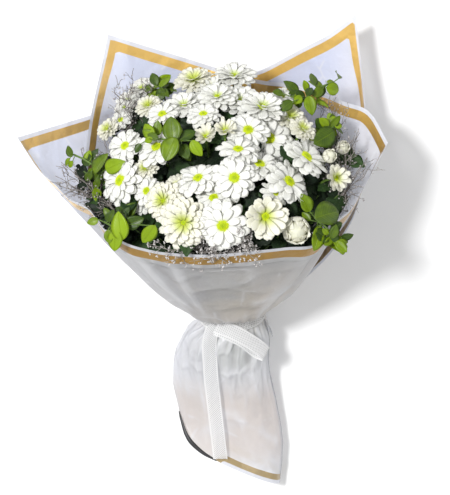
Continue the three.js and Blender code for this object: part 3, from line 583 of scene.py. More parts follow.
# The gold print's colour with painted shade: dark brown on the front rim, which lies in shade, and
# bright on the lit flaps.
brass_with_painted_shade = film_finish.mix(flap, (0.27, 0.145, 0.018), (0.84, 0.53, 0.13))
brass_with_painted_shade = film_finish.mix(film_finish.noise(60, 4) * 0.28, brass_with_painted_shade, (0.58, 0.38, 0.13))
brass_with_painted_shade = film_finish.mix(skirt * 0.8, brass_with_painted_shade, (0.36, 0.27, 0.12))
film_colour = film_finish.mix(gold, film_colour, brass_with_painted_shade)
# Painted shade: nearly black where the skirt's film turns away at its right side.
film_colour = film_finish.mix(depth.above(0.76, 0.93) * 0.92, film_colour, (0.06, 0.06, 0.065))

# %% [markdown]
# Crumpled film breaks into facets with creases between them, and the borders of Voronoi cells run
# like such creases. A wide net of them goes over the whole sheet, with pale glints painted on some
# as highlights, and a finer one, drawn out along the bunch, pinches the top of the skirt, where its
# lines are painted a little paler as highlights.

# %% Creases and gloss of the film
def from_crease(where, scale):
    """How far a point is from the border of its cell."""
    sockets = {"Vector": where, "Scale": scale, "Randomness": 1.0}
    node = film_finish.add("ShaderNodeTexVoronoi", {"feature": "DISTANCE_TO_EDGE"}, sockets)
    return Value(film_finish, node.outputs["Distance"])


wide = from_crease(place_on_bunch, 19.0)
glint = (1 - wide.above(0.0, 0.05)) * film_finish.noise(30, 2).above(0.50, 0.60)
film_colour = film_finish.mix(glint * (1 - gold) * 0.45, film_colour, (0.95, 0.95, 0.97))
drawn_out = film_finish.add(
    "ShaderNodeVectorMath", {"operation": "MULTIPLY"}, {0: place_on_bunch, 1: (1, 0.3, 1)})
pinch_and_highlight = 1 - from_crease(drawn_out.outputs[0], 52.0).above(0.0, 0.16)
pinch_and_highlight = pinch_and_highlight * (skirt * film_y.above(-0.36, -0.30))
# Painted highlight: the fine pinch lines on the skirt are made a little paler.
film_colour = film_finish.mix(pinch_and_highlight * 0.2, film_colour, (0.98, 0.98, 0.99))
wrinkles = film_finish.noise(24, 4, roughness=0.6) + film_finish.noise(85, 3) * 0.2
wrinkles = wrinkles + (1 - wide.above(0.0, 0.22)) * 0.30 + pinch_and_highlight * 0.35
film_finish.feed(
    Base_Color=film_colour,
    Roughness=0.26 + film_cloud * 0.16,
    Metallic=gold * 0.25,
    Alpha=0.82 - skirt * 0.06 + gold * 0.16 + margin * 0.10,
    Coat_Weight=0.35 + gold * 0.2,
)
film_finish.bump(wrinkles, 0.007, 0.5)
film_finish.glow_through((1 - gold) * 0.34, (0.68, 0.70, 0.79))
milky_film = film_finish.material
print("milky film nodes:", len(film_finish.tree.nodes))

# %% [markdown]
# ## White lace
#
# The ribbon is a woven net between two firm edges. Real holes would need a hundred thousand
# faces, so the holes are an alpha pattern in millimetres along and across the ribbon, and the
# threads between them are raised by a bump.

# %% Lace finish
HOLE_PITCH = 3.0  # mm from one hole to the next, on the slant
RIBBON_WIDTH = 19  # mm
lace_finish = Finish("white_lace", Roughness=0.75, Specular_IOR_Level=0.2, Sheen_Weight=0.3)
lace_yarn = lace_finish.noise(700, 3)
lace_finish.feed(Base_Color=lace_finish.mix(lace_yarn, (0.88, 0.88, 0.89), (0.96, 0.96, 0.95)))
lace_across, lace_along = lace_finish.flat()
turns = 2 * math.pi / HOLE_PITCH
one_slant = ((lace_across + lace_along) * (turns / 2)).sine().size()
other_slant = ((lace_across - lace_along) * (turns / 2)).sine().size()
hole = one_slant.above(0.35, 0.75) * other_slant.above(0.35, 0.75)
inside = lace_across.above(1.6, 2.0) * (1 - lace_across.above(RIBBON_WIDTH - 2, RIBBON_WIDTH - 1.6))
weave = (lace_across * 9).sine() * (lace_along * 9).sine()
lace_finish.feed(Alpha=0.82 - hole * inside * 0.46)
lace_finish.bump(weave * 0.3 - hole * inside, 0.0005, 0.7)
lace_finish.glow_through(0.25, (0.9, 0.9, 0.9))
white_lace = lace_finish.material
print("finishes:", len(bpy.data.materials))

# %% [markdown]
# ## Three sheets of film
#
# Each sheet was cut square, laid with a corner up, and gathered round the stems at the tie. From
# the gathered neck it fans out in ribs, up to its cut edge, and below the tie the front sheet
# opens again into a skirt. A rib is given by its angle round the neck and by the point of the
# sheet's edge where it ends: right, up and height. The tips are the sheet's corners.

# %% Ribs of the three sheets
BACK_LEFT = [
    (-185, 26, 319, 12), (-172, -9, 327, 13), (-158, -60, 343, 18), (-145, -110, 358, 34),
    (-130, -161, 374, 60), (-120, -169, 335, 80), (-108, -179, 290, 116), (-98, -186, 252, 148),
    (-88, -190, 211, 176), (-78, -189, 170, 198), (-70, -177, 142, 208), (-62, -156, 116, 212),
]
BACK_RIGHT = [
    (208, -46, 300, 3), (202, -22, 308, 1), (195, 4, 316, 1), (182, 26, 324, 1),
    (170, 43, 330, 4), (155, 92, 356, 20), (140, 126, 374, 44), (126, 161, 400, 70),
    (114, 168, 335, 76), (103, 173, 283, 92), (92, 178, 235, 112), (80, 168, 190, 140),
]
ROUND_FRONT = [
    (185, 12, 318, 5), (175, 28, 316, 6),
    (165, 46, 313, 25), (150, 72, 310, 38), (138, 95, 305, 60), (126, 126, 295, 90),
    (114, 148, 286, 120), (101, 179, 273, 149), (88, 203, 233, 187), (78, 190, 209, 208),
    (68, 177, 185, 228), (57, 157, 150, 241), (46, 134, 129, 260), (36, 114, 104, 277),
    (21, 69, 97, 296), (7, 23, 92, 303), (-5, -18, 88, 301), (-20, -68, 89, 294),
    (-33, -107, 94, 284), (-43, -142, 105, 274), (-51, -168, 123, 262), (-60, -187, 148, 249),
    (-68, -212, 161, 228), (-77, -233, 182, 210), (-85, -252, 199, 194), (-95, -279, 240, 172),
    (-110, -233, 254, 106), (-125, -187, 268, 56), (-150, -133, 285, 8),
]
SKIRT = [  # below the tie, to the left, height over the table, half width, half depth
    (40, 6, 57, 54, 36), (81, 12, 42, 62, 36), (139, 9, 27, 67, 31), (259, 4, 22, 67, 25),
]
SKIRT_SLANT = 0.13  # how much of the skirt's length is missing in the middle
CORNER_CUT = 0.13  # how much more is missing round its left corner


def skirt_point(angle, row, drawn_in=0.0):
    """A point of the skirt's section, drawn in by some millimetres for an inner layer."""
    below, left, height, width, depth = SKIRT[row]
    right = math.sin(angle)
    cut = SKIRT_SLANT * (1 - right) + CORNER_CUT * max(-right, 0) ** 5
    cut *= below / SKIRT[-1][0]
    x = TIE[0] / MM - left + (width - drawn_in) * math.sin(angle)
    y = TIE[1] / MM - below * (1 - cut)
    z = max(height + (depth - drawn_in) * math.cos(angle), 1 + drawn_in)
    return np.array((x, y, z)) * MM


# %% [markdown]
# A rib runs from the skirt through the neck to its edge. On the way the film swells out, because
# it is stiff and has been pushed together. Where the bunch rests, the film is pressed flat by
# the table, so nothing goes below a floor.

# %% One rib
FAN_STEPS = np.array((0.04, 0.08, 0.125, 0.19, 0.25, 0.375, 0.5, 0.625, 0.75, 0.87, 0.93, 1.0))
BELLY = ((-75, 30, 20), (65, 22, 13))  # angle, its spread and how far out, of two full places
BELLY_AT = 0.18  # the share of a rib where they are fullest
BAG_AT = 0.10  # the share of a rib where the film sags most over the tie
LIP_AT = 0.92  # the share of a rib where the front rim curls over
# How each sheet lies: its layer at the neck, how much smaller its skirt is, the lowest its fan
# goes, how far it swells, flares at the right, bellies at both sides, sags over the tie and curls
# over at the front rim, and its wrinkles. In mm, the belly as a factor.
BACK_LEFT_LAY = dict(
    layer=0, drawn_in=5, floor=5, puff=-3, flare=0, belly=0, bag=0, lip=0, crumple=1.4)
BACK_RIGHT_LAY = dict(
    layer=2, drawn_in=-4, floor=0, puff=33, flare=0, belly=1, bag=0, lip=0, crumple=1.4)
ROUND_FRONT_LAY = dict(
    layer=1, drawn_in=0, floor=2.5, puff=12, flare=10, belly=1, bag=11, lip=12, crumple=6.5)


def hump(share, top):
    """Rises from 0 to 1 at a share of the rib and dies away after it."""
    return share / top * math.exp(1 - share / top)


def rib(angle_degrees, edge, lay, skirt_rows):
    """Control points of a rib, with the place of each along the rib, from the tie."""
    angle = math.radians(angle_degrees)
    neck = on_neck(angle, NECK_LENGTH, lay["layer"])
    out = outward(angle)
    front = max(math.cos(angle), 0)
    belly = sum(far * math.exp(-(((angle_degrees - at) / spread) ** 2)) for at, spread, far in BELLY)
    points = [skirt_point(angle, row, lay["drawn_in"]) for row in skirt_rows]
    points += [on_neck(angle, -NECK_LENGTH, lay["layer"]), neck]
    for share in FAN_STEPS:
        drawn = lay["flare"] * max(math.sin(angle), 0) ** 2 * math.sin(math.pi * share**3)
        swell = lay["puff"] * 4 * share * (1 - share) - drawn
        swell += lay["belly"] * belly * hump(share, BELLY_AT) * ease(1, 0.85, share)
        bag = lay["bag"] * (0.15 + 0.85 * front**1.5) * hump(share, BAG_AT) ** 1.6
        lip = lay["lip"] * front * math.exp(-(((share - LIP_AT) / 0.05) ** 2)) * (share < 1)
        point = neck + (edge - neck) * share + out * (swell + 0.7 * bag) * MM
        point -= AXIS * (0.7 * bag + lip) * MM
        point[2] = max(point[2], (lay["floor"] + 1) * MM)
        points.append(point)
    points = np.array(points)
    steps = np.linalg.norm(np.diff(points, axis=0), axis=1)
    places = np.concatenate([[0], np.cumsum(steps)])
    return points, places - places[len(skirt_rows)] - NECK_LENGTH


# %% [markdown]
# Between the ribs the sheet is smooth, except along its edge, where it has real corners. So the
# sheet is worked out twice, once smooth all through and once broken at its corners, and the
# second takes over towards the edge. The gathering makes fine pleats that fade away from the
# tie, and a few long soft folds run up the fan.

# %% A whole sheet
PLEATS = 31  # fine ones round the neck
FINE_HIGH, FINE_FADE = 2.6, 0.022  # how high they stand in mm, and the metres in which they fade
BROAD_HIGH, BROAD_FADE = (7.5, 8.0), (0.075, 0.035)  # the same, below and above the tie
CREASES = ((1, 60 * MM), (0.5, 27 * MM))  # strength and size of the large and the small ones
FOLD_HIGH = 4  # mm
ROWS_BELOW, ROWS_ABOVE = 56, 70
STEPS_PER_RIB = 7


def across_ribs(rows, angles, corners, at):
    """Rows of points across the ribs, smooth and broken at the corners."""
    whole = smooth(rows, angles, at)
    ends = [0, *corners, len(angles) - 1]
    broken = np.empty_like(whole)
    for low, high in zip(ends[:-1], ends[1:]):
        here = (at >= angles[low] - 1e-9) & (at <= angles[high] + 1e-9)
        broken[here] = smooth(rows[low : high + 1], angles[low : high + 1], at[here])
    return whole, broken


def nearest_edge(points, lines):
    """How far each point is from some lines of points."""
    best = np.full(len(points), 1.0)
    for line in lines:
        for start, way in zip(line[:-1], np.diff(line, axis=0)):
            along = np.clip((points - start) @ way / max(way @ way, 1e-12), 0, 1)
            far = np.linalg.norm(points - start - along[:, None] * way, axis=1)
            best = np.minimum(best, far)
    return best


def fold(phase, sharp):
    """Round crests from 0 to 1 with a crisp valley between them, or the other way round."""
    wave = np.abs(np.sin(phase))
    return wave**0.75 if sharp > 0 else (1 - wave) ** 1.5


def pleats_at(angle, place):
    """How far the gathering pushes the film out: fine pleats at the tie, broad ones below it."""
    near = np.abs(place)
    bound = 0.15 + 0.85 * ease(9 * MM, 20 * MM, near)
    fine = fold(0.5 * PLEATS * angle + 0.9 * np.sin(3 * angle) + 5 * place, 1)
    fine = FINE_HIGH * fine * np.exp(-np.maximum(near - 20 * MM, 0) / FINE_FADE)
    crooked = 1.3 * np.sin(2 * angle + 1) + 0.6 * np.sin(5 * angle + 2) + 7 * place
    crooked = crooked + 0.5 * np.sin(3 * angle + 45 * place)
    broad = fold(4.5 * angle + crooked, -1) + 0.6 * fold(7.0 * angle - 1.4 * crooked + 0.7, -1)
    high, fade = np.where(place < 0, *BROAD_HIGH), np.where(place < 0, *BROAD_FADE)
    broad = high * (broad - 0.35) * ease(12 * MM, 34 * MM, near) * np.exp(-near / fade)
    return (fine + broad) * bound * MM


def long_folds(angle, share, seed, count):
    """A few soft folds that run up the fan, strongest half way."""
    draw = np.random.default_rng(seed)
    low, high = angle.min(), angle.max()
    push = np.zeros(np.broadcast(angle, share).shape)
    swell = np.sin(np.clip(share, 0, 1) * math.pi) ** 0.8
    for middle in draw.uniform(low, high, count):
        width = draw.uniform(0.05, 0.14)
        slant = draw.uniform(-0.35, 0.35)
        away = (angle - middle - slant * (share - 0.5)) / width
        push += draw.uniform(0.35, 1.0) * (1 - np.tanh(np.abs(away)) ** 2) ** 0.8
    return FOLD_HIGH * MM * push * swell


def crumple(points, size, seed):
    """Nearly straight creases, each strong in some places only."""
    draw = np.random.default_rng(seed)
    height = np.zeros(points.shape[:-1])
    for k in range(9):
        way = unit(draw.normal(0, 1, 3))
        way = way - 0.65 * AXIS * (way @ AXIS)  # most creases run up the fan
        where = unit(draw.normal(0, 1, 3)) / (2.3 * size)
        bent = 0.5 * np.sin(points @ unit(draw.normal(0, 1, 3)) / (1.4 * size) + k)
        strong = np.clip(np.sin(points @ where + draw.uniform(0, 6.28)), 0, 1) ** 1.5
        height += strong * fold(points @ way / size * draw.uniform(0.8, 1.5) + bent + k, -1)
    return height / 2.2 - 0.22


def blurred(grid, reach):
    """The grid with each number averaged over its neighbours, first one way, then the other."""
    for axis in (0, 1):
        sums = np.zeros_like(grid)
        for k in range(-reach, reach + 1):
            index = np.clip(np.arange(grid.shape[axis]) + k, 0, grid.shape[axis] - 1)
            sums += np.take(grid, index, axis)
        grid = sums / (2 * reach + 1)
    return grid


def sheet_through(ribs, corners, lay, skirt_rows):
    """The smooth sheet's points, with each one's angle, place along its rib and share of the fan."""
    degrees = np.array([one[0] for one in ribs], float)
    order = 1 if degrees[0] < degrees[-1] else -1
    fan = np.linspace(0, 1, ROWS_ABOVE + 1)[1:]
    lines, far = [], []
    for one in ribs:
        points, places = rib(one[0], seen(*one[1:]), lay, skirt_rows)
        below = np.linspace(places[0], NECK_LENGTH, ROWS_BELOW)
        at = np.concatenate([below, NECK_LENGTH + fan * (places[-1] - NECK_LENGTH)])
        lines.append(smooth(points, places, at))
        far.append(at)
    steps = np.linspace(0, len(ribs) - 1, STEPS_PER_RIB * (len(ribs) - 1) + 1)
    turns = degrees * order
    at = np.interp(steps, np.arange(len(ribs)), turns)
    whole, broken = across_ribs(np.array(lines), turns, corners, at)
    share = np.concatenate([np.zeros(ROWS_BELOW), fan])
    cornered = ease(0.55, 1.0, share)[None, :, None]
    points = whole * (1 - cornered) + broken * cornered
    return points, np.radians(at * order)[:, None], smooth(np.array(far), turns, at), share


def facing_out(points, angle):
    """The sheet's own direction at each point, away from the axis."""
    down, over = np.gradient(points, axis=1), np.gradient(points, axis=0)
    normal = unit(np.cross(over, down))
    return normal * np.sign(np.sum(normal * outward(angle[:, 0])[:, None], axis=-1, keepdims=True))


def film_sheet(name, ribs, corners, lay, skirt_rows, seed, folds, hem_from):
    """A whole sheet. Its border follows the hem only where the angle's sine is over hem_from."""
    points, angle, place, share = sheet_through(ribs, corners, lay, skirt_rows)
    large, small = (much * crumple(points, size, seed + k) for k, (much, size) in enumerate(CREASES))
    ridges = (large + small) * lay["crumple"] * MM * ease(0.02, 0.07, np.abs(place))
    ridges = ridges * (1 + 0.7 * ease(-0.015, -0.05, place))
    push = pleats_at(angle, place) + long_folds(angle, share[None, :], seed, folds) + ridges
    still = ease(0, 0.07, 1 - share)[None, :]
    points = points + facing_out(points, angle) * (push * still)[..., None]
    points[..., 2] = np.maximum(points[..., 2], (lay["floor"] + 0.6) * MM)
    fan_rows = slice(ROWS_BELOW + 8, None)
    edges = [points[0, fan_rows], points[:, -1], points[-1, fan_rows]]
    hem = points[np.sin(angle[:, 0]) > hem_from, 0]
    if len(hem):
        edges.append(hem)
    edge = nearest_edge(points.reshape(-1, 3), edges).reshape(place.shape)
    # Painted shade: the tone rises to nearly black towards the right side of the skirt, where the
    # film turns away.
    side = np.exp(-(((angle - math.pi / 2) / 0.30) ** 2)) * ease(-0.01, -0.05, place)
    # Painted shade and light: valleys of the folds get a high tone, which the film finish paints
    # greyer, and crests a low one, which it paints paler.
    relief = (push - blurred(push, 5)) * still
    valley = np.clip(0.5 - relief / (3.2 * MM), 0, 1)
    pile = Pile()
    pile.lay(points, np.stack([edge, place], -1), np.maximum(0.7 * valley, side), solid=False)
    sheet = pile.piece(name, [milky_film], "film", [name.replace("sheet", "film")], False)
    area = sum(face.area for face in sheet.data.polygons)
    print(name, "points", points.shape[:2], "area", round(area, 3), "m2")
    return sheet, points


# %% Make the sheets
NO_HEM = 2  # a back sheet's lower end is out of sight, so it has no border there
back_left, _ = film_sheet(
    "sheet_back_left", BACK_LEFT, [4], BACK_LEFT_LAY, [2, 1, 0], 4, 7, NO_HEM)
back_right, _ = film_sheet(
    "sheet_back_right", BACK_RIGHT, [7], BACK_RIGHT_LAY, [0], 9, 6, NO_HEM)
round_front, front_points = film_sheet(
    "sheet_round_front", ROUND_FRONT, [8, 25], ROUND_FRONT_LAY, [3, 2, 1, 0], 6, 13, -0.10)

# %% [markdown]
# ## The rolled hem
#
# At the lower left the skirt isn't cut straight: its edge is rolled in, several layers thick. A
# slim roll lies along that stretch of the edge, thickest in its middle, and is painted nearly black
# as the shade inside the roll.

# %% Hem roll
HEM_FROM, HEM_TO = -100, -12  # degrees round the axis
HEM_STEPS = 60
steps_round = np.interp(np.linspace(0, len(ROUND_FRONT) - 1, front_points.shape[0]),
                        np.arange(len(ROUND_FRONT)), [one[0] for one in ROUND_FRONT])
hem_part = (steps_round < HEM_TO) & (steps_round > HEM_FROM)
hem_line = line_through(front_points[hem_part, 0], HEM_STEPS)
hem_radii = (0.5 + 2.8 * np.sin(np.linspace(0, 1, HEM_STEPS) * math.pi) ** 0.7) * MM
hem_shade_finish = Finish("rolled_film_shade", Roughness=0.4, Specular_IOR_Level=0.4)
hem_grain = hem_shade_finish.noise(120, 4)
# Painted shade: the roll's colour is nearly black, the shade inside it.
hem_shade_finish.feed(Base_Color=hem_shade_finish.mix(hem_grain, (0.005, 0.005, 0.006), (0.055, 0.055, 0.058)))
hem_shade_finish.bump(hem_grain, 0.0008, 0.6)
hem_pile = Pile()
lay_tube(hem_pile, hem_line, hem_radii, 0.5, 8)
hem_roll = hem_pile.piece("skirt_hem_roll", [hem_shade_finish.material], "film")
print("hem roll", round(float(np.linalg.norm(np.diff(hem_line, axis=0), axis=1).sum()) / MM), "mm")

# %% [markdown]
# ## Staying inside the wrap
#
# Leaves and petals at the edge of the bunch lean against the film and never come through it. To
# hold them back, each angle round the axis gets the film's distance from the axis, row by row,
# and whatever would stand further out is pressed back to just inside.

# %% The wrap's inner reach
REACH_STEPS = 73
reach_angles = np.radians(np.linspace(-180, 180, REACH_STEPS))
reach_along = np.linspace(20 * MM, 420 * MM, 41)
NO_FILM = 1.0  # m; where there is no film, nothing holds a leaf back


def reach_row(turn, degrees, radii, ends):
    """The film's distance at one angle, for each place along the axis."""
    row = [np.interp(turn, degrees, radii[:, k]) for k in range(len(reach_along))]
    return np.where(reach_along > np.interp(turn, degrees, ends), NO_FILM, row)


def reach_table():
    """The film's distance from the axis: a row for each angle, a column for each place along."""
    table = np.full((REACH_STEPS, len(reach_along)), NO_FILM)
    for ribs, lay in ((BACK_LEFT, BACK_LEFT_LAY), (ROUND_FRONT, ROUND_FRONT_LAY)):
        degrees = np.array([one[0] for one in ribs], float)
        plain = dict(lay, bag=0, lip=0)  # the sag and the curled rim pull points back down the rib
        made = [rib(one[0], seen(*one[1:]), plain, [])[0] for one in ribs]
        lines = [round_axis(points)[1:] for points in made]
        radii = np.array([np.interp(reach_along, far, radius) for radius, far in lines])
        ends = np.array([far[-1] for _, far in lines])
        order = np.argsort(degrees)
        degrees, radii, ends = degrees[order], radii[order], ends[order]
        for i, angle in enumerate(np.degrees(reach_angles)):
            for turn in (angle - 360, angle, angle + 360):
                if degrees[0] <= turn <= degrees[-1]:
                    table[i] = np.minimum(table[i], reach_row(turn, degrees, radii, ends))
    return table


wrap_reach = reach_table()


def keep_inside(points, room=4 * MM):
    """Presses points back inside the film."""
    shape = points.shape
    flat = points.reshape(-1, 3)
    angle, radius, along = round_axis(flat)
    a = (angle - reach_angles[0]) / (reach_angles[1] - reach_angles[0])
    b = np.clip((along - reach_along[0]) / (reach_along[1] - reach_along[0]),
                0, len(reach_along) - 1.001)
    i, j = np.clip(a.astype(int), 0, REACH_STEPS - 2), b.astype(int)
    fa, fb = a - i, b - j
    t = wrap_reach
    most = (t[i, j] * (1 - fa) * (1 - fb) + t[i + 1, j] * fa * (1 - fb)
            + t[i, j + 1] * (1 - fa) * fb + t[i + 1, j + 1] * fa * fb) - room
    factor = np.minimum(1, most / np.maximum(radius, 1e-6))
    centre = TIE + AXIS * along[:, None]
    return (centre + (flat - centre) * factor[:, None]).reshape(shape)


print("film stands", round(float(wrap_reach.min()) / MM), "mm or more from the axis")

# %% [markdown]
# ## Blades: one recipe for petals and leaves
#
# A petal and a leaf are both thin blades: an outline, an arch along the length and a fold or
# cup across. The grid runs over the top from edge to edge and back underneath, so each blade is
# a closed, slightly lens-shaped solid, and not a sheet without a back.

# %% Blades
OVER = np.array((-1, -0.62, 0, 0.62, 1))
UNDER = np.array((0.62, 0, -0.62))


def blade(length, width, outline, arch, cup, thick, rows=8, notch=0.0):
    """A blade along x with its face up z. Outline and arch are functions of the place along."""
    t = np.linspace(0, 1, rows)[:, None]
    across = np.concatenate([OVER, UNDER])[None, :]
    wide = outline(t)
    x = length * (t - notch * (1 - np.abs(across)) * t**9)
    y = width / 2 * wide * across
    z = length * arch(t) + cup * width * across**2 * wide
    z = z - np.concatenate([np.zeros(5), np.full(3, 1.0)])[None, :] * thick
    grid = np.stack(np.broadcast_arrays(x, y, z), -1)
    flat = np.stack(np.broadcast_arrays(across / 2 + 0.5, t), -1)
    return grid, flat


def placed(grid, where, x_way, z_way):
    """Sets a grid down with its x along one direction and its z near another."""
    x_way = unit(x_way)
    y_way = unit(np.cross(z_way, x_way))
    z_way = np.cross(x_way, y_way)
    return where + grid[..., :1] * x_way + grid[..., 1:2] * y_way + grid[..., 2:] * z_way


def petal_outline(t):
    """Narrow foot, long parallel sides and a blunt round tip."""
    return np.minimum(1, 0.42 + 1.15 * t) * np.sqrt(
        1 - 0.90 * np.clip((t - 0.70) / 0.30, 0, 1) ** 2.4)


# %% [markdown]
# ## Reading a head from its solid
#
# The frame holds a plain ring of petals for every head. Its corners lie evenly round the way the
# head faces, so two of the three spreads of the corner cloud are alike, and the odd one out is
# the facing. That gives centre, facing and size of each flower, and the real flower is grown
# exactly there.

# %% Centre, facing and radius of a head
def read_head(name):
    corners = np.array([v.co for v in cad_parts[name].data.vertices])
    corners = np.unique(corners.round(6), axis=0)
    middle = corners.mean(0)
    spreads, ways = np.linalg.eigh(np.cov((corners - middle).T))
    lone = 0 if spreads[1] - spreads[0] > spreads[2] - spreads[1] else 2
    facing = ways[:, lone] * np.sign(ways[:, lone] @ (EYE - middle))
    along = (corners - middle) @ facing
    radius = np.linalg.norm(corners - middle - along[:, None] * facing, axis=1).max()
    return middle + facing * along.min(), facing, radius


HEADS = sorted(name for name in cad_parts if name.startswith("daisy_"))
HALF_OPEN = {"daisy_front_big", "daisy_cream_left", "daisy_cream_right", "daisy_far_right"}
heads = {name: read_head(name) for name in HEADS}
print("heads:", len(heads), "largest", round(max(h[2] for h in heads.values()) * 2 / MM), "mm")

# %% [markdown]
# ## Rings of petals
#
# An open or half-open daisy has three rings of petals, each shorter and steeper than the one
# below. A head that leans away has four, and a double one five that stand up towards the middle.
# No petal is like the next: each gets its own length, turn, droop and tone from a seeded draw, so
# the flowers come out the same every time.

# %% Petals of a head
RINGS = {  # petals, share of the radius, rise, start from the middle, width, all per ring
    "open": ((12, 1.20, 0.06, 0.15, 0.51), (11, 1.10, 0.18, 0.13, 0.48), (8, 0.86, 0.34, 0.12, 0.42)),
    "double": ((14, 1.17, 0.05, 0.15, 0.38), (14, 1.08, 0.18, 0.14, 0.36),
               (12, 0.94, 0.34, 0.13, 0.33), (11, 0.76, 0.58, 0.12, 0.29),
               (8, 0.52, 0.90, 0.10, 0.24)),
    "top": ((13, 1.26, 0.10, 0.15, 0.48), (12, 1.14, 0.26, 0.13, 0.45), (10, 0.90, 0.48, 0.12, 0.40),
            (7, 0.60, 0.85, 0.11, 0.32)),
    "half": ((9, 1.12, 0.50, 0.14, 0.52), (9, 1.05, 0.80, 0.13, 0.48), (6, 0.86, 1.15, 0.12, 0.40)),
}
PETAL_THICK = 0.45 * MM
PETALS, DISC, CUP = 0, 1, 2  # the finishes of a head


def grow_petals(pile, centre, facing, radius, form, draw):
    side, up = sides_of(facing)
    for ring, (count, reach, rise, start, width) in enumerate(RINGS[form]):
        spin = draw.uniform(0, 6.28)
        for k in range(count):
            turn = spin + 2 * math.pi * (k + draw.uniform(-0.18, 0.18)) / count
            way = turned(side, up, turn)
            long = radius * (reach - start) * draw.uniform(0.83, 1.05)
            lift = rise * draw.uniform(0.75, 1.3) + draw.uniform(-0.05, 0.06)
            droop = draw.uniform(0.04, 0.24) if form == "open" else draw.uniform(0.0, 0.14)
            cup = draw.uniform(-0.05, 0.20)
            grid, flat = blade(
                long, radius * width * draw.uniform(0.84, 1.12), petal_outline,
                lambda t: lift * t**0.9 - droop * t**2.6, cup, PETAL_THICK,
                notch=draw.uniform(0.0, 0.09))
            flat[..., 1] = start + flat[..., 1] * (reach - start)
            roll = draw.uniform(-0.28, 0.28)
            tilted = unit(facing + roll * np.cross(facing, way))
            where = centre + way * radius * start + facing * radius * (0.02 + 0.04 * ring)
            grid = placed(grid, where, way, tilted)
            pile.lay(keep_inside(grid, 2.5 * MM), flat, draw.uniform(0, 1), PETALS)


# %% [markdown]
# ## The eye and the cup
#
# The florets of the disc sit where a growing flower puts them: each a golden turn further round
# than the last and a little further out. Under the petals a green cup holds them on the stem.

# %% Disc and cup of a head
FLORETS = 84
DISC_RISE = 0.34  # how high the disc is domed, as a share of its radius


def dome(radius, height, rows, sides):
    """A small round cap with its base at the origin, facing z."""
    lift = np.linspace(0, math.pi / 2, rows + 1)[:-1, None]
    turn = np.linspace(0, 2 * math.pi, sides, endpoint=False)[None, :]
    x, y = radius * np.cos(lift) * np.cos(turn), radius * np.cos(lift) * np.sin(turn)
    return np.stack(np.broadcast_arrays(x, y, height * np.sin(lift)), -1)


def grow_disc(pile, centre, facing, radius, draw):
    side, up = sides_of(facing)
    base = placed(dome(radius, radius * DISC_RISE, 4, 14), centre, side, facing)
    pile.lay(base, tone=0.3, kind=DISC)
    small = radius / math.sqrt(FLORETS) * 1.05
    cap = dome(small, small * 1.5, 2, 5)
    for k in range(FLORETS):
        far = math.sqrt((k + 0.5) / FLORETS)
        way = turned(side, up, k * GOLDEN_TURN)
        height = radius * DISC_RISE * math.sqrt(max(1 - far * far, 0.0))
        where = centre + way * radius * far + facing * (height - 0.2 * small)
        lean = unit(facing + way * far * 0.9)
        bud = placed(cap * draw.uniform(0.85, 1.15), where, np.cross(lean, side + 0.3 * way), lean)
        pile.lay(bud, tone=far, kind=DISC)


def grow_cup(pile, centre, facing, radius):
    """The green cup: a turned shape from the stem up to under the petals."""
    profile = ((1.6, -10), (2.4, -8), (0.16 * radius / MM, -3.4), (0.26 * radius / MM, -0.6),
               (0.2 * radius / MM, 1.2))
    way = all_round(*sides_of(facing), 12)
    rows = [centre + way * r * MM + facing * h * MM for r, h in profile]
    pile.lay(np.array(rows), tone=0.8, kind=CUP)


# %% [markdown]
# ## Buds
#
# A closed bud is a ball of petals folded over each other. Each petal is a wide blade wrapped
# round an egg, and each ring overlaps the one inside it.

# %% A bud
BUD_RINGS = ((5, 0.78, 0.10), (6, 0.90, 0.46), (7, 1.04, 0.84))  # petals, width, mouth


def grow_bud(pile, centre, facing, radius, draw):
    side, up = sides_of(facing)
    height = 1.9 * radius
    egg = np.array([(0.36, 0.0), (0.66, 0.25), (0.74, 0.5), (0.62, 0.75), (0.34, 0.93), (0.06, 1.0)])
    ring = all_round(side, up, 14)
    rows = np.array([centre + ring * radius * wide + facing * height * high for wide, high in egg])
    pile.lay(rows, np.full((*rows.shape[:2], 2), 0.5), 0.3, PETALS)
    for count, size, mouth in BUD_RINGS:
        spin = draw.uniform(0, 6.28)
        for k in range(count):
            turn = spin + 2 * math.pi * (k + draw.uniform(-0.14, 0.14)) / count
            t = np.linspace(0, 1, 10)[:, None]
            across = np.concatenate([OVER, UNDER])[None, :]
            rise = t * draw.uniform(0.74, 1.04)
            round_out = np.sin(np.clip(0.14 + 0.86 * rise, 0, 1) * math.pi) ** 0.6
            round_out = round_out * (1 - t**3) + np.maximum(round_out, mouth) * t**3
            around = turn + 0.56 * petal_outline(t) * (1 - 0.35 * t**3) * across
            thick = np.concatenate([np.zeros(5), np.ones(3)])[None, :] * PETAL_THICK
            reach = radius * size * round_out * (1 + 0.04 * np.abs(across)) - thick
            way = side * np.cos(around)[..., None] + up * np.sin(around)[..., None]
            grid = centre + way * reach[..., None] + facing * (rise * height)[..., None]
            flat = np.stack(np.broadcast_arrays(across / 2 + 0.5, 0.25 + 0.6 * t), -1)
            pile.lay(grid, flat, draw.uniform(0.0, 0.8), PETALS)


# %% Grow all heads
DISC_SHARE = {"open": 0.30, "top": 0.22, "double": 0.20, "half": 0.27}
TOP_FROM = 262  # mm up the picture; from there the heads lean away and show their petals only
BLOOM_SEED = 100


def form_of(name):
    if "bud" in name:
        return "bud"
    if name in HALF_OPEN:
        return "half"
    if "double" in name or name == "daisy_corner_low":
        return "double"
    return "top" if (heads[name][0] - VIEW_ZERO) @ VIEW_TOP > TOP_FROM * MM else "open"


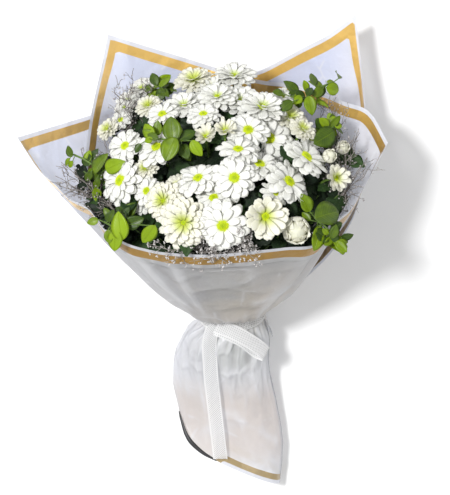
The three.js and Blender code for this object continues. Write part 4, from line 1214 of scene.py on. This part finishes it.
for number, name in enumerate(HEADS):
    centre, facing, radius = heads[name]
    form = form_of(name)
    draw = np.random.default_rng(BLOOM_SEED + number)
    pile = Pile()
    if form == "bud":
        grow_bud(pile, centre, facing, radius, draw)
    else:
        grow_petals(pile, centre, facing, radius, form, draw)
        disc = max(DISC_SHARE[form] * radius, 2.4 * MM)
        grow_disc(pile, centre + facing * 0.09 * radius, facing, disc, draw)
    grow_cup(pile, centre, facing, radius)
    white = petal_white if form in ("open", "top") else petal_cream
    pile.piece(name + "_bloom", [white, daisy_disc, stem_green], "petals", [name])
print("blooms grown:", len(HEADS))

# %% [markdown]
# ## Stems
#
# Every head has a stem that bends from its cup down into the bound core, runs through the tie
# and ends in the skirt, where the florist cut it. The bunch is packed in four bundles, front,
# right, back and left, and each bundle is one piece with its leaves.

# %% The route of a stem
BUNDLES = ("front", "right", "back", "left")
CORE_WIDTH, CORE_DEPTH = NECK_WIDTH - 3 * MM, NECK_DEPTH - 3 * MM
SQUEEZE = 0.15


def bundle_of(point):
    angle = math.degrees(round_axis(point)[0])
    return BUNDLES[int(((angle + 405) % 360) // 90)]


def in_core(angle, share, along):
    return (TIE + AXIS * along + RIGHT * CORE_WIDTH * share * math.sin(angle)
            + FRONT * CORE_DEPTH * share * math.cos(angle))


def stem_line(top, top_way, draw, count=14):
    """From the cut end in the skirt, through the tie, to the head."""
    angle, radius, along = round_axis(top)
    share = float(np.clip(radius * SQUEEZE / CORE_WIDTH, 0.1, 0.92))
    low = in_core(angle, share, -20 * MM)
    end = low - AXIS * draw.uniform(45, 68) * MM
    high = in_core(angle, share, 16 * MM)
    far = np.linalg.norm(top - high)
    t = np.linspace(0, 1, count)[:, None]
    knee, wrist = high + AXIS * far * 0.30, top + top_way * far * 0.16
    bend = ((1 - t) ** 3 * high + 3 * (1 - t) ** 2 * t * knee
            + 3 * (1 - t) * t**2 * wrist + t**3 * top)
    return np.vstack([[end], [low], bend])


# %% [markdown]
# ## Leaves deep in the bunch
#
# Chrysanthemum leaves are lobed and dark, and they fill the gaps between the heads, where the
# photograph is nearly black; their darkest tones are painted shade of those gaps. They grow from
# the stems, so each of them starts at a point of a stem, leans away from it and shows its face to
# the light.

# %% Leaf shapes
DARK_LEAF, BRIGHT_LEAF = 1, 2  # finishes of a bundle; the stems have number 0


def lobed_outline(t):
    """A chrysanthemum leaf: narrow foot, deep round lobes."""
    lobes = 0.62 + 0.38 * np.abs(np.cos(t * math.pi * 2.6))
    return np.sin(np.clip(t, 0, 1) ** 0.8 * math.pi * 0.94 + 0.1) ** 0.8 * lobes


def oval_outline(t):
    """A glossy oval leaf with a short point."""
    return np.clip(np.sin(np.clip(t, 0, 1) ** 0.85 * math.pi) ** 0.72, 0.02, 1)


def grow_leaf(pile, foot, way, face, length, draw, outline, kind, width):
    curl = draw.uniform(0.05, 0.30)
    grid, flat = blade(length, length * width, outline, lambda t: 0.06 * t - curl * t**2,
                       draw.uniform(0.03, 0.20), 0.4 * MM, rows=13)
    twist = draw.uniform(-0.5, 0.5) * (grid[..., :1] / length) * grid[..., 1:2]
    grid = np.concatenate([grid[..., :2], grid[..., 2:] + twist], -1)
    tone = draw.uniform(0, 1) ** 1.25
    pile.lay(keep_inside(placed(grid, foot, way, face)), flat, tone, kind)


def grow_foliage(pile, line, draw, count):
    """Dark leaves along the upper part of a stem, most of them right under the head."""
    for k in range(count):
        index = int((0.97 - 0.42 * draw.uniform(0, 1) ** 1.6) * (len(line) - 1))
        foot = line[index]
        along = unit(line[index] - line[index - 2])
        turn = k * GOLDEN_TURN + draw.uniform(-0.5, 0.5)
        side = unit(np.cross(along, TO_RIGHT + 0.1 * VIEW_TOP))
        lean = turned(side, np.cross(along, side), turn)
        way = unit(along * draw.uniform(0.0, 0.55) + lean)
        face = unit(TO_VIEWER + 0.6 * along + 0.4 * lean)
        length = draw.uniform(26, 46) * MM
        grow_leaf(pile, foot, way, face, length, draw, lobed_outline, DARK_LEAF, 0.66)


# %% [markdown]
# ## Leafy sprigs
#
# Between the daisies the florist put sprigs of glossy oval leaves. Each sprig is a twig through
# a few points, and its leaves are given as they are seen: right, up and height of the middle,
# length, and the way the tip points in degrees.

# %% Sprigs
SPRIGS = [
    ([(88, 282, 158), (96, 292, 165), (112, 304, 160), (130, 311, 150)],
     [(77, 305, 152, 24, 140),
      (60, 298, 168, 15, 190), (101, 300, 174, 15, 60), (86, 289, 184, 15, 220),
      (102, 282, 184, 24, 280), (117, 284, 170, 18, 320), (70, 281, 200, 21, 215),
      (132, 303, 154, 22, 350), (138, 322, 150, 16, 60)]),
    ([(126, 256, 176), (126, 248, 208)],
     [(120, 240, 220, 33, 205), (139, 250, 198, 15, 20)]),
    ([(104, 143, 250), (110, 132, 274), (124, 122, 290), (140, 106, 292)],
     [(96, 155, 286, 24, 120), (125, 141, 292, 38, 25), (112, 109, 296, 30, 255),
      (146, 97, 296, 24, 320), (133, 118, 300, 18, 80), (150, 112, 292, 15, 20)]),
    ([(-160, 184, 212), (-171, 194, 218), (-186, 208, 210), (-206, 218, 204)],
     [(-172, 207, 224, 28, 60), (-154, 203, 242, 28, 20), (-211, 222, 204, 15, 110),
      (-176, 166, 226, 18, 265)]),
    ([(-134, 141, 260), (-140, 134, 276), (-148, 122, 288), (-166, 130, 284)],
     [(-146, 124, 296, 34, 95), (-152, 106, 294, 26, 265), (-128, 130, 288, 25, 20),
      (-181, 131, 280, 14, 200), (-162, 142, 286, 14, 130), (-108, 114, 300, 28, 240)]),
    ([(-66, 231, 222), (-71, 236, 255), (-88, 238, 250), (-106, 238, 242)],
     [(-78, 251, 258, 30, 95), (-80, 225, 268, 30, 250), (-57, 243, 255, 20, 30),
      (-46, 226, 264, 22, 300), (-108, 248, 248, 22, 120), (-122, 226, 242, 13, 240)]),
    ([(-90, 298, 110), (-95, 308, 128)],
     [(-101, 316, 132, 17, 110), (-87, 312, 134, 18, 40)]),
]
SPRIG_LEAVES = 14  # small leaves more along each sprig, by a seeded rule


def grow_sprig(pile, twig, leaves, draw):
    """The twig with its oval leaves, and the leaf stalks."""
    line = np.array([seen(*point) for point in twig])
    root = stem_line(line[0], unit(TIE - line[0]), draw, 8)
    lay_tube(pile, line_through(np.vstack([root, line[1:]]), 34), 1.2 * MM, 0.5)
    fine = line_through(line, 20) if len(line) > 2 else np.linspace(line[0], line[-1], 20)
    spots = [(seen(*leaf[:3]), leaf[3] * MM, leaf[4]) for leaf in leaves]
    for k in range(SPRIG_LEAVES):
        at = fine[int(draw.uniform(0.05, 0.98) * 19)]
        turn = draw.uniform(0, 360)
        reach = draw.uniform(6, 15) * MM
        way = turned(TO_RIGHT, VIEW_TOP, math.radians(turn))
        spots.append((at + way * reach + TO_VIEWER * draw.uniform(-6, 7) * MM,
                      draw.uniform(10, 20) * MM, turn + draw.uniform(-30, 30)))
    for middle, length, degrees in spots:
        lean = 0.35 * draw.normal(0, 1, 3)
        face = unit(unit(middle - DOME) * 0.4 + TO_VIEWER * 0.6 + 0.6 * lean)
        way = turned(TO_RIGHT, VIEW_TOP, math.radians(degrees))
        way = unit(way - face * (way @ face))
        foot = middle - way * length / 2
        start = fine[np.argmin(np.linalg.norm(fine - foot, axis=1))]
        width = draw.uniform(0.62, 0.78)
        grow_leaf(pile, foot, way, face, length, draw, oval_outline, BRIGHT_LEAF, width)
        stalk = line_through([start, (start + foot) / 2 + face * MM, foot + way * MM], 6)
        lay_tube(pile, stalk, 0.6 * MM, 0.7, 5)


# %% [markdown]
# ## Filling the four bundles
#
# Each bundle is one pile. First come the stems of its heads, with dark leaves along their upper
# part, and then its sprigs. The stem of a head thins out a little on its way up.

# %% Stems and sprigs
STEM_SEED, SPRIG_SEED = 300, 500
green_piles = {bundle: Pile() for bundle in BUNDLES}
for number, name in enumerate(HEADS):
    centre, facing, radius = heads[name]
    draw = np.random.default_rng(STEM_SEED + number)
    line = keep_inside(stem_line(centre - facing * 8 * MM, -facing, draw), 3 * MM)
    pile = green_piles[bundle_of(centre)]
    lay_tube(pile, line, np.linspace(2.0, 1.5, len(line)) * MM, draw.uniform(0.2, 0.8))
    grow_foliage(pile, line, draw, 10)

for number, (twig, leaves) in enumerate(SPRIGS):
    pile = green_piles[bundle_of(seen(*twig[0]))]
    grow_sprig(pile, twig, leaves, np.random.default_rng(SPRIG_SEED + number))
print("stems with a head:", len(HEADS), "sprigs:", len(SPRIGS))

# %% [markdown]
# Just inside the front rim the photograph shows dark leaves nearly all the way round. So behind
# each rib there two short leafy shoots come up from the core and end a little inside the film.

# %% Shoots behind the rim
SHOOTS_FROM, SHOOTS_TO = -72, 60  # degrees round the axis
SHOOT_SEED = 1200
for number, (degrees, right, up, height) in enumerate(ROUND_FRONT):
    if SHOOTS_FROM < degrees < SHOOTS_TO:
        for row in range(2):
            draw = np.random.default_rng(SHOOT_SEED + 2 * number + row)
            tip = seen(0.88 * right - 6 * row, up + 15 + 20 * row, height - 20 - 8 * row)
            line = keep_inside(stem_line(tip, unit(TIE - tip), draw, 16), 5 * MM)
            pile = green_piles[bundle_of(tip)]
            lay_tube(pile, line, 0.9 * MM, 0.3, 5)
            grow_foliage(pile, line, draw, 7)

# %% [markdown]
# The core inside the tie holds more than the stems that end in a visible head, so plain stems
# fill it up. They are spread by the golden turn too, which packs an oval evenly.

# %% Filler stems and the finished bundles
FILLERS, FILLER_SEED = 52, 700
for k in range(FILLERS):
    turn, share = k * GOLDEN_TURN, math.sqrt((k + 0.5) / FILLERS) * 0.95
    draw = np.random.default_rng(FILLER_SEED + k)
    ends = in_core(turn, share, -draw.uniform(60, 92) * MM), in_core(turn, share, 38 * MM)
    pile = green_piles[bundle_of(ends[1] + AXIS * 0.05)]
    lay_tube(pile, np.linspace(*ends, 6), 2.3 * MM, draw.uniform(0, 0.5), 7)

for bundle, pile in green_piles.items():
    finishes = [stem_green, leaf_dark, leaf_bright]
    pile.piece("greens_" + bundle, finishes, "greens", ["stems_" + bundle])
    print("greens", bundle, "faces", len(pile.faces))

# %% [markdown]
# ## Dry sprays
#
# Sea lavender branches again and again at flat angles, and each end carries a papery floret. A
# seeded rule grows it: along every branch short shoots leave to alternating sides, each with
# its own florets. Each spray stands on the rim of the core and runs to the places where the
# photograph shows its tips. A row gives its angle at the core, how pale it is, where it forks, and
# its tips. The two darker sprays are held inside the wrap, and the pale one hangs over the rim.

# %% Sprays
SPRAYS = {
    "dry_spray_left": (-90, 0.05, (-158, 150, 232), [
        (-222, 208, 206), (-205, 190, 214), (-214, 176, 222), (-188, 176, 226), (-176, 150, 248),
        (-165, 236, 196), (-196, 226, 200), (-150, 176, 240), (-170, 215, 215), (-142, 306, 150),
        (-118, 318, 130), (-128, 330, 110), (-230, 190, 212)]),
    "dry_spray_right": (88, 0.35, (146, 168, 224), [
        (176, 214, 214), (166, 246, 190), (150, 286, 156), (134, 272, 176), (158, 196, 228),
        (150, 232, 204), (166, 168, 236), (126, 222, 226), (140, 206, 228), (154, 150, 244),
        (122, 314, 140)]),
    "dry_spray_front": (4, 1.0, (-22, 92, 286), [
        (-40, 128, 312), (-24, 112, 316), (2, 96, 314), (14, 112, 312), (-74, 84, 306),
        (-36, 82, 318), (-12, 78, 320), (-52, 108, 310), (-2, 122, 306), (28, 100, 306),
        (-110, 98, 300), (30, 88, 312)]),
}
TWIG, FLORET = 0, 1  # the finishes of a spray


def grow_floret(pile, where, way, size, tone):
    """A tiny open cup of papery scales."""
    cap = dome(size, -size * 1.4, 2, 5)
    side = unit(np.cross(way, VIEW_TOP + 0.2 * TO_RIGHT))
    pile.lay(placed(cap, where, side, way), tone=tone, kind=FLORET)


def grow_branch(pile, start, end, draw, level, radius, pale):
    """A slightly crooked twig with shoots and florets."""
    length = np.linalg.norm(end - start)
    count = max(4, int(length / (9 * MM)))
    line = np.linspace(start, end, count)
    line[1:-1] += draw.normal(0, length * 0.014 + 0.6 * MM, (count - 2, 3))
    line = line_through(line, 2 * count)
    if pale < 0.5:
        line = keep_inside(line, 3 * MM)
    thin = np.linspace(radius, radius * 0.5, len(line))
    lay_tube(pile, line, thin, draw.uniform(0.0, 0.4) + 0.5 * pale, 5 if level == 0 else 3)
    way = unit(end - start)
    if level == 2:
        for _ in range(3 if pale > 0.5 else 1):
            where = line[-1] + draw.normal(0, 0.9 * MM, 3)
            grow_floret(pile, where, way, draw.uniform(0.7, 1.35) * MM,
                        draw.uniform(0.0, 0.55) + 0.45 * pale)
        return
    apart = (7 if level == 0 else 4.2) * (1.0 if pale > 0.5 else 1.45)
    shoots = int(length / (apart * MM))
    for k in range(shoots):
        at = line[int((0.22 + 0.76 * k / max(shoots, 1)) * (len(line) - 1))]
        turn = k * GOLDEN_TURN + draw.uniform(-0.5, 0.5)
        side = unit(np.cross(way, TO_VIEWER + 0.2 * TO_RIGHT))
        lean = turned(side, np.cross(way, side), turn)
        far = draw.uniform(11, 24) * MM if level == 0 else draw.uniform(3.0, 7.5) * MM
        tip = at + unit(way * 0.9 + lean) * far
        grow_branch(pile, at, tip, draw, level + 1, radius * 0.62, pale)


# %% [markdown]
# A spray would look thin with one branch for each tip, so at both sides every tip gets a second
# branch that strays a little from the first. On the front spray only the upper tips in its middle
# do, and their second branch lies a little further to the right.

# %% Grow the sprays
STRAY, FRONT_SHIFT = 9 * MM, 14 * MM
SPRAY_SEED = 900
for number, (name, (foot, pale, fork, tips)) in enumerate(SPRAYS.items()):
    draw = np.random.default_rng(SPRAY_SEED + number)
    pile = Pile()
    base, fork = in_core(math.radians(foot), 0.98, 16 * MM), seen(*fork)
    trunk = line_through([base, (base + fork) / 2 + AXIS * 8 * MM, fork], 24)
    lay_tube(pile, trunk, 1.1 * MM, 0.3)
    at_front = name == "dry_spray_front"
    again = [tip for tip in tips if not at_front or (abs(tip[0]) < 20 and tip[1] > 90)]
    for k, tip in enumerate(tips + again):
        second = k >= len(tips)
        aim = seen(*tip) + second * draw.normal(0, STRAY, 3)
        aim = aim + (second and at_front) * TO_RIGHT * FRONT_SHIFT
        grow_branch(pile, trunk[-1 - 2 * (k % 5)], aim, draw, 0, 0.65 * MM, pale)
    pile.piece(name + "_twigs", [dry_twig, papery_floret], "dry_twigs", [name])
    print(name, "faces", len(pile.faces))

# %% [markdown]
# ## The lace ribbon
#
# The ribbon goes round the neck, is knotted a little left of the middle, hangs down the front in
# one long end and turns to the right in a loop. It is a soft strip, so it is given by the line
# of its middle and waves a little on the way. The knot is the same ribbon, pulled tight over
# itself into a small pleated bundle.

# %% Strips of lace
RIBBON_TAIL = [(-24, -5, 104), (-28, -18, 99), (-28, -60, 87), (-23, -110, 74), (-18, -152, 66),
               (-15, -178, 60)]
BOW_LOOP = [(-20, -5, 109), (4, -14, 111), (25, -26, 107), (41, -38, 98), (44, -42, 92),
            (38, -40, 90), (12, -22, 100), (-20, -8, 104)]


def lace_strip(pile, line, across, waves):
    """A strip along a line, with its flat place in millimetres, and soft waves."""
    steps = np.linalg.norm(np.diff(line, axis=0), axis=1)
    far = np.concatenate([[0], np.cumsum(steps)]) / MM
    share = np.linspace(0, 1, 11)[None, :]
    way = unit(np.gradient(line, axis=0))
    over = unit(np.cross(way, np.broadcast_to(across, way.shape)))
    over *= np.where(over @ TO_VIEWER < 0, -1, 1)[:, None]
    side = (share - 0.5)[..., None] * RIBBON_WIDTH * MM * np.broadcast_to(across, way.shape)[:, None]
    wave = waves * MM * np.sin(far[:, None] / 16 + share * 5) * np.cos(share * 9 + far[:, None] / 37)
    grid = line[:, None] + side + over[:, None] * wave[..., None]
    flat = np.stack(np.broadcast_arrays(share * RIBBON_WIDTH, far[:, None]), -1)
    pile.lay(grid, flat, solid=False)


ribbon_pile = Pile()
tail_line = line_through([seen(*point) for point in RIBBON_TAIL], 90)
lace_strip(ribbon_pile, tail_line, TO_RIGHT, 0.9)
loop_line = line_through([seen(*point) for point in BOW_LOOP], 70)
loop_across = unit(np.cross(loop_line[25] - loop_line[0], TO_VIEWER))
lace_strip(ribbon_pile, loop_line, loop_across, 0.8)

# %% Band and knot
BAND_OUT = 2 * LAYER + 2.6 * MM  # how far it stands off the neck, over the layers of film
BAND_HALF = 10  # mm
turns_round = np.linspace(0, 2 * math.pi, 160)
band_across = np.linspace(-BAND_HALF, BAND_HALF, 11) * MM
band = np.array([
    [TIE + AXIS * a + RIGHT * (NECK_WIDTH + BAND_OUT) * math.sin(t)
     + FRONT * (NECK_DEPTH + BAND_OUT) * math.cos(t)
     + outward(t) * 0.7 * MM * math.sin(a / MM * 1.7 + 2 * math.sin(3 * t)) for a in band_across]
    for t in turns_round])
band_far = turns_round * (NECK_WIDTH + NECK_DEPTH) / 2 / MM
band_flat = np.stack(np.broadcast_arrays(
    np.linspace(0, RIBBON_WIDTH, 11)[None, :], band_far[:, None]), -1)
ribbon_pile.lay(band, band_flat, solid=False)

KNOT_ANGLE = math.radians(-32)
KNOT_ASIDE, KNOT_FORWARD = 8.6 * MM, 9.6 * MM  # how far its middle stands off the neck
KNOT_THICK, KNOT_HALF = 6.0, 8.5  # mm
knot_middle = (TIE + RIGHT * (NECK_WIDTH + KNOT_ASIDE) * math.sin(KNOT_ANGLE)
               + FRONT * (NECK_DEPTH + KNOT_FORWARD) * math.cos(KNOT_ANGLE))
turn = np.linspace(0, 2 * math.pi, 36, endpoint=False)
knot_rows = []
for share in np.linspace(-1, 1, 15):
    pinch = math.sqrt(max(1 - share * share * 0.86, 0))
    radius = (KNOT_THICK + 0.8 * np.sin(5 * turn + 4 * share)) * pinch * MM
    ring = (knot_middle + AXIS * share * KNOT_HALF * MM + (TO_RIGHT * np.cos(turn)[:, None] * 1.15
            + FRONT * np.sin(turn)[:, None] * 0.75) * radius[:, None])
    knot_rows.append(ring)
knot_flat = np.stack(np.broadcast_arrays(
    np.linspace(0, RIBBON_WIDTH, 15)[:, None], np.linspace(0, 36, 36)[None, :]), -1)
ribbon_pile.lay(np.array(knot_rows), knot_flat)
ribbon = ribbon_pile.piece("ribbon_lace", [white_lace], "lace", ["lace_ribbon"], False)
ribbon_area = sum(face.area for face in ribbon.data.polygons)
print("ribbon area", round(ribbon_area, 4), "m2")

# %% [markdown]
# ## Film and ribbon
#
# Film and ribbon are sheets that were cut flat.

# %% [markdown]
# ## Floor and light
#
# The bunch lies on a plain pale floor. The main light hangs high at the upper left, so the front of
# the wrap is in gentle shade and a shadow falls to the lower right. A wide weak light from the
# foot end and an even glow from all round fill the rest.

# %% Floor
floor_finish = Finish("pale_floor", Roughness=0.8, Specular_IOR_Level=0.2)
floor_grain = floor_finish.noise(6, 2)
floor_finish.feed(Base_Color=floor_finish.mix(floor_grain, (0.90, 0.90, 0.90), (0.93, 0.93, 0.93)))
floor_mesh = bpy.data.meshes.new("floor")
FLOOR_HALF, FLOOR_LOW = 6.0, -0.0006  # metres; a little low, so that nothing shares its plane
floor_corners = [(x * FLOOR_HALF, y * FLOOR_HALF, FLOOR_LOW) for x, y in
                 ((-1, -1), (1, -1), (1, 1), (-1, 1))]
floor_mesh.from_pydata(floor_corners, [], [(0, 1, 2, 3)])
floor_mesh.materials.append(floor_finish.material)
floor = bpy.data.objects.new("floor", floor_mesh)
bpy.context.scene.collection.objects.link(floor)
floor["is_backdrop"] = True


# %% Lights
def add_light(name, place, aim, size, power):
    """A round white light that shines from a place at a point."""
    data = bpy.data.lights.new(name, "AREA")
    data.shape, data.size, data.energy = "DISK", size, power
    light = bpy.data.objects.new(name, data)
    light.location = Vector(place)
    light.rotation_mode = "QUATERNION"
    light.rotation_quaternion = (Vector(aim) - Vector(place)).to_track_quat("-Z", "Y")
    bpy.context.scene.collection.objects.link(light)


add_light("key", (-1.0, 0.95, 2.8), (0, 0, 0.1), 0.5, 92)
add_light("fill", (0.9, -1.6, 2.6), (0, -0.1, 0.1), 2.2, 16)
world = bpy.data.worlds.new("studio")
world.use_nodes = True
background = world.node_tree.nodes["Background"]
background.inputs["Color"].default_value = (0.99, 0.995, 1.0, 1)
background.inputs["Strength"].default_value = 0.54
bpy.context.scene.world = world
bpy.context.scene.view_settings.view_transform = "Standard"

# %% How far the surfaces stand beyond the solids
visual_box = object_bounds()
for axis in range(3):
    low, high = cad_box[0][axis], cad_box[1][axis]
    room = 0.03 * (high - low) + 0.010
    over = max(low - visual_box[0][axis], visual_box[1][axis] - high)
    print("XYZ"[axis], "stands", round(over / MM, 1), "mm proud, room", round(room / MM, 1))
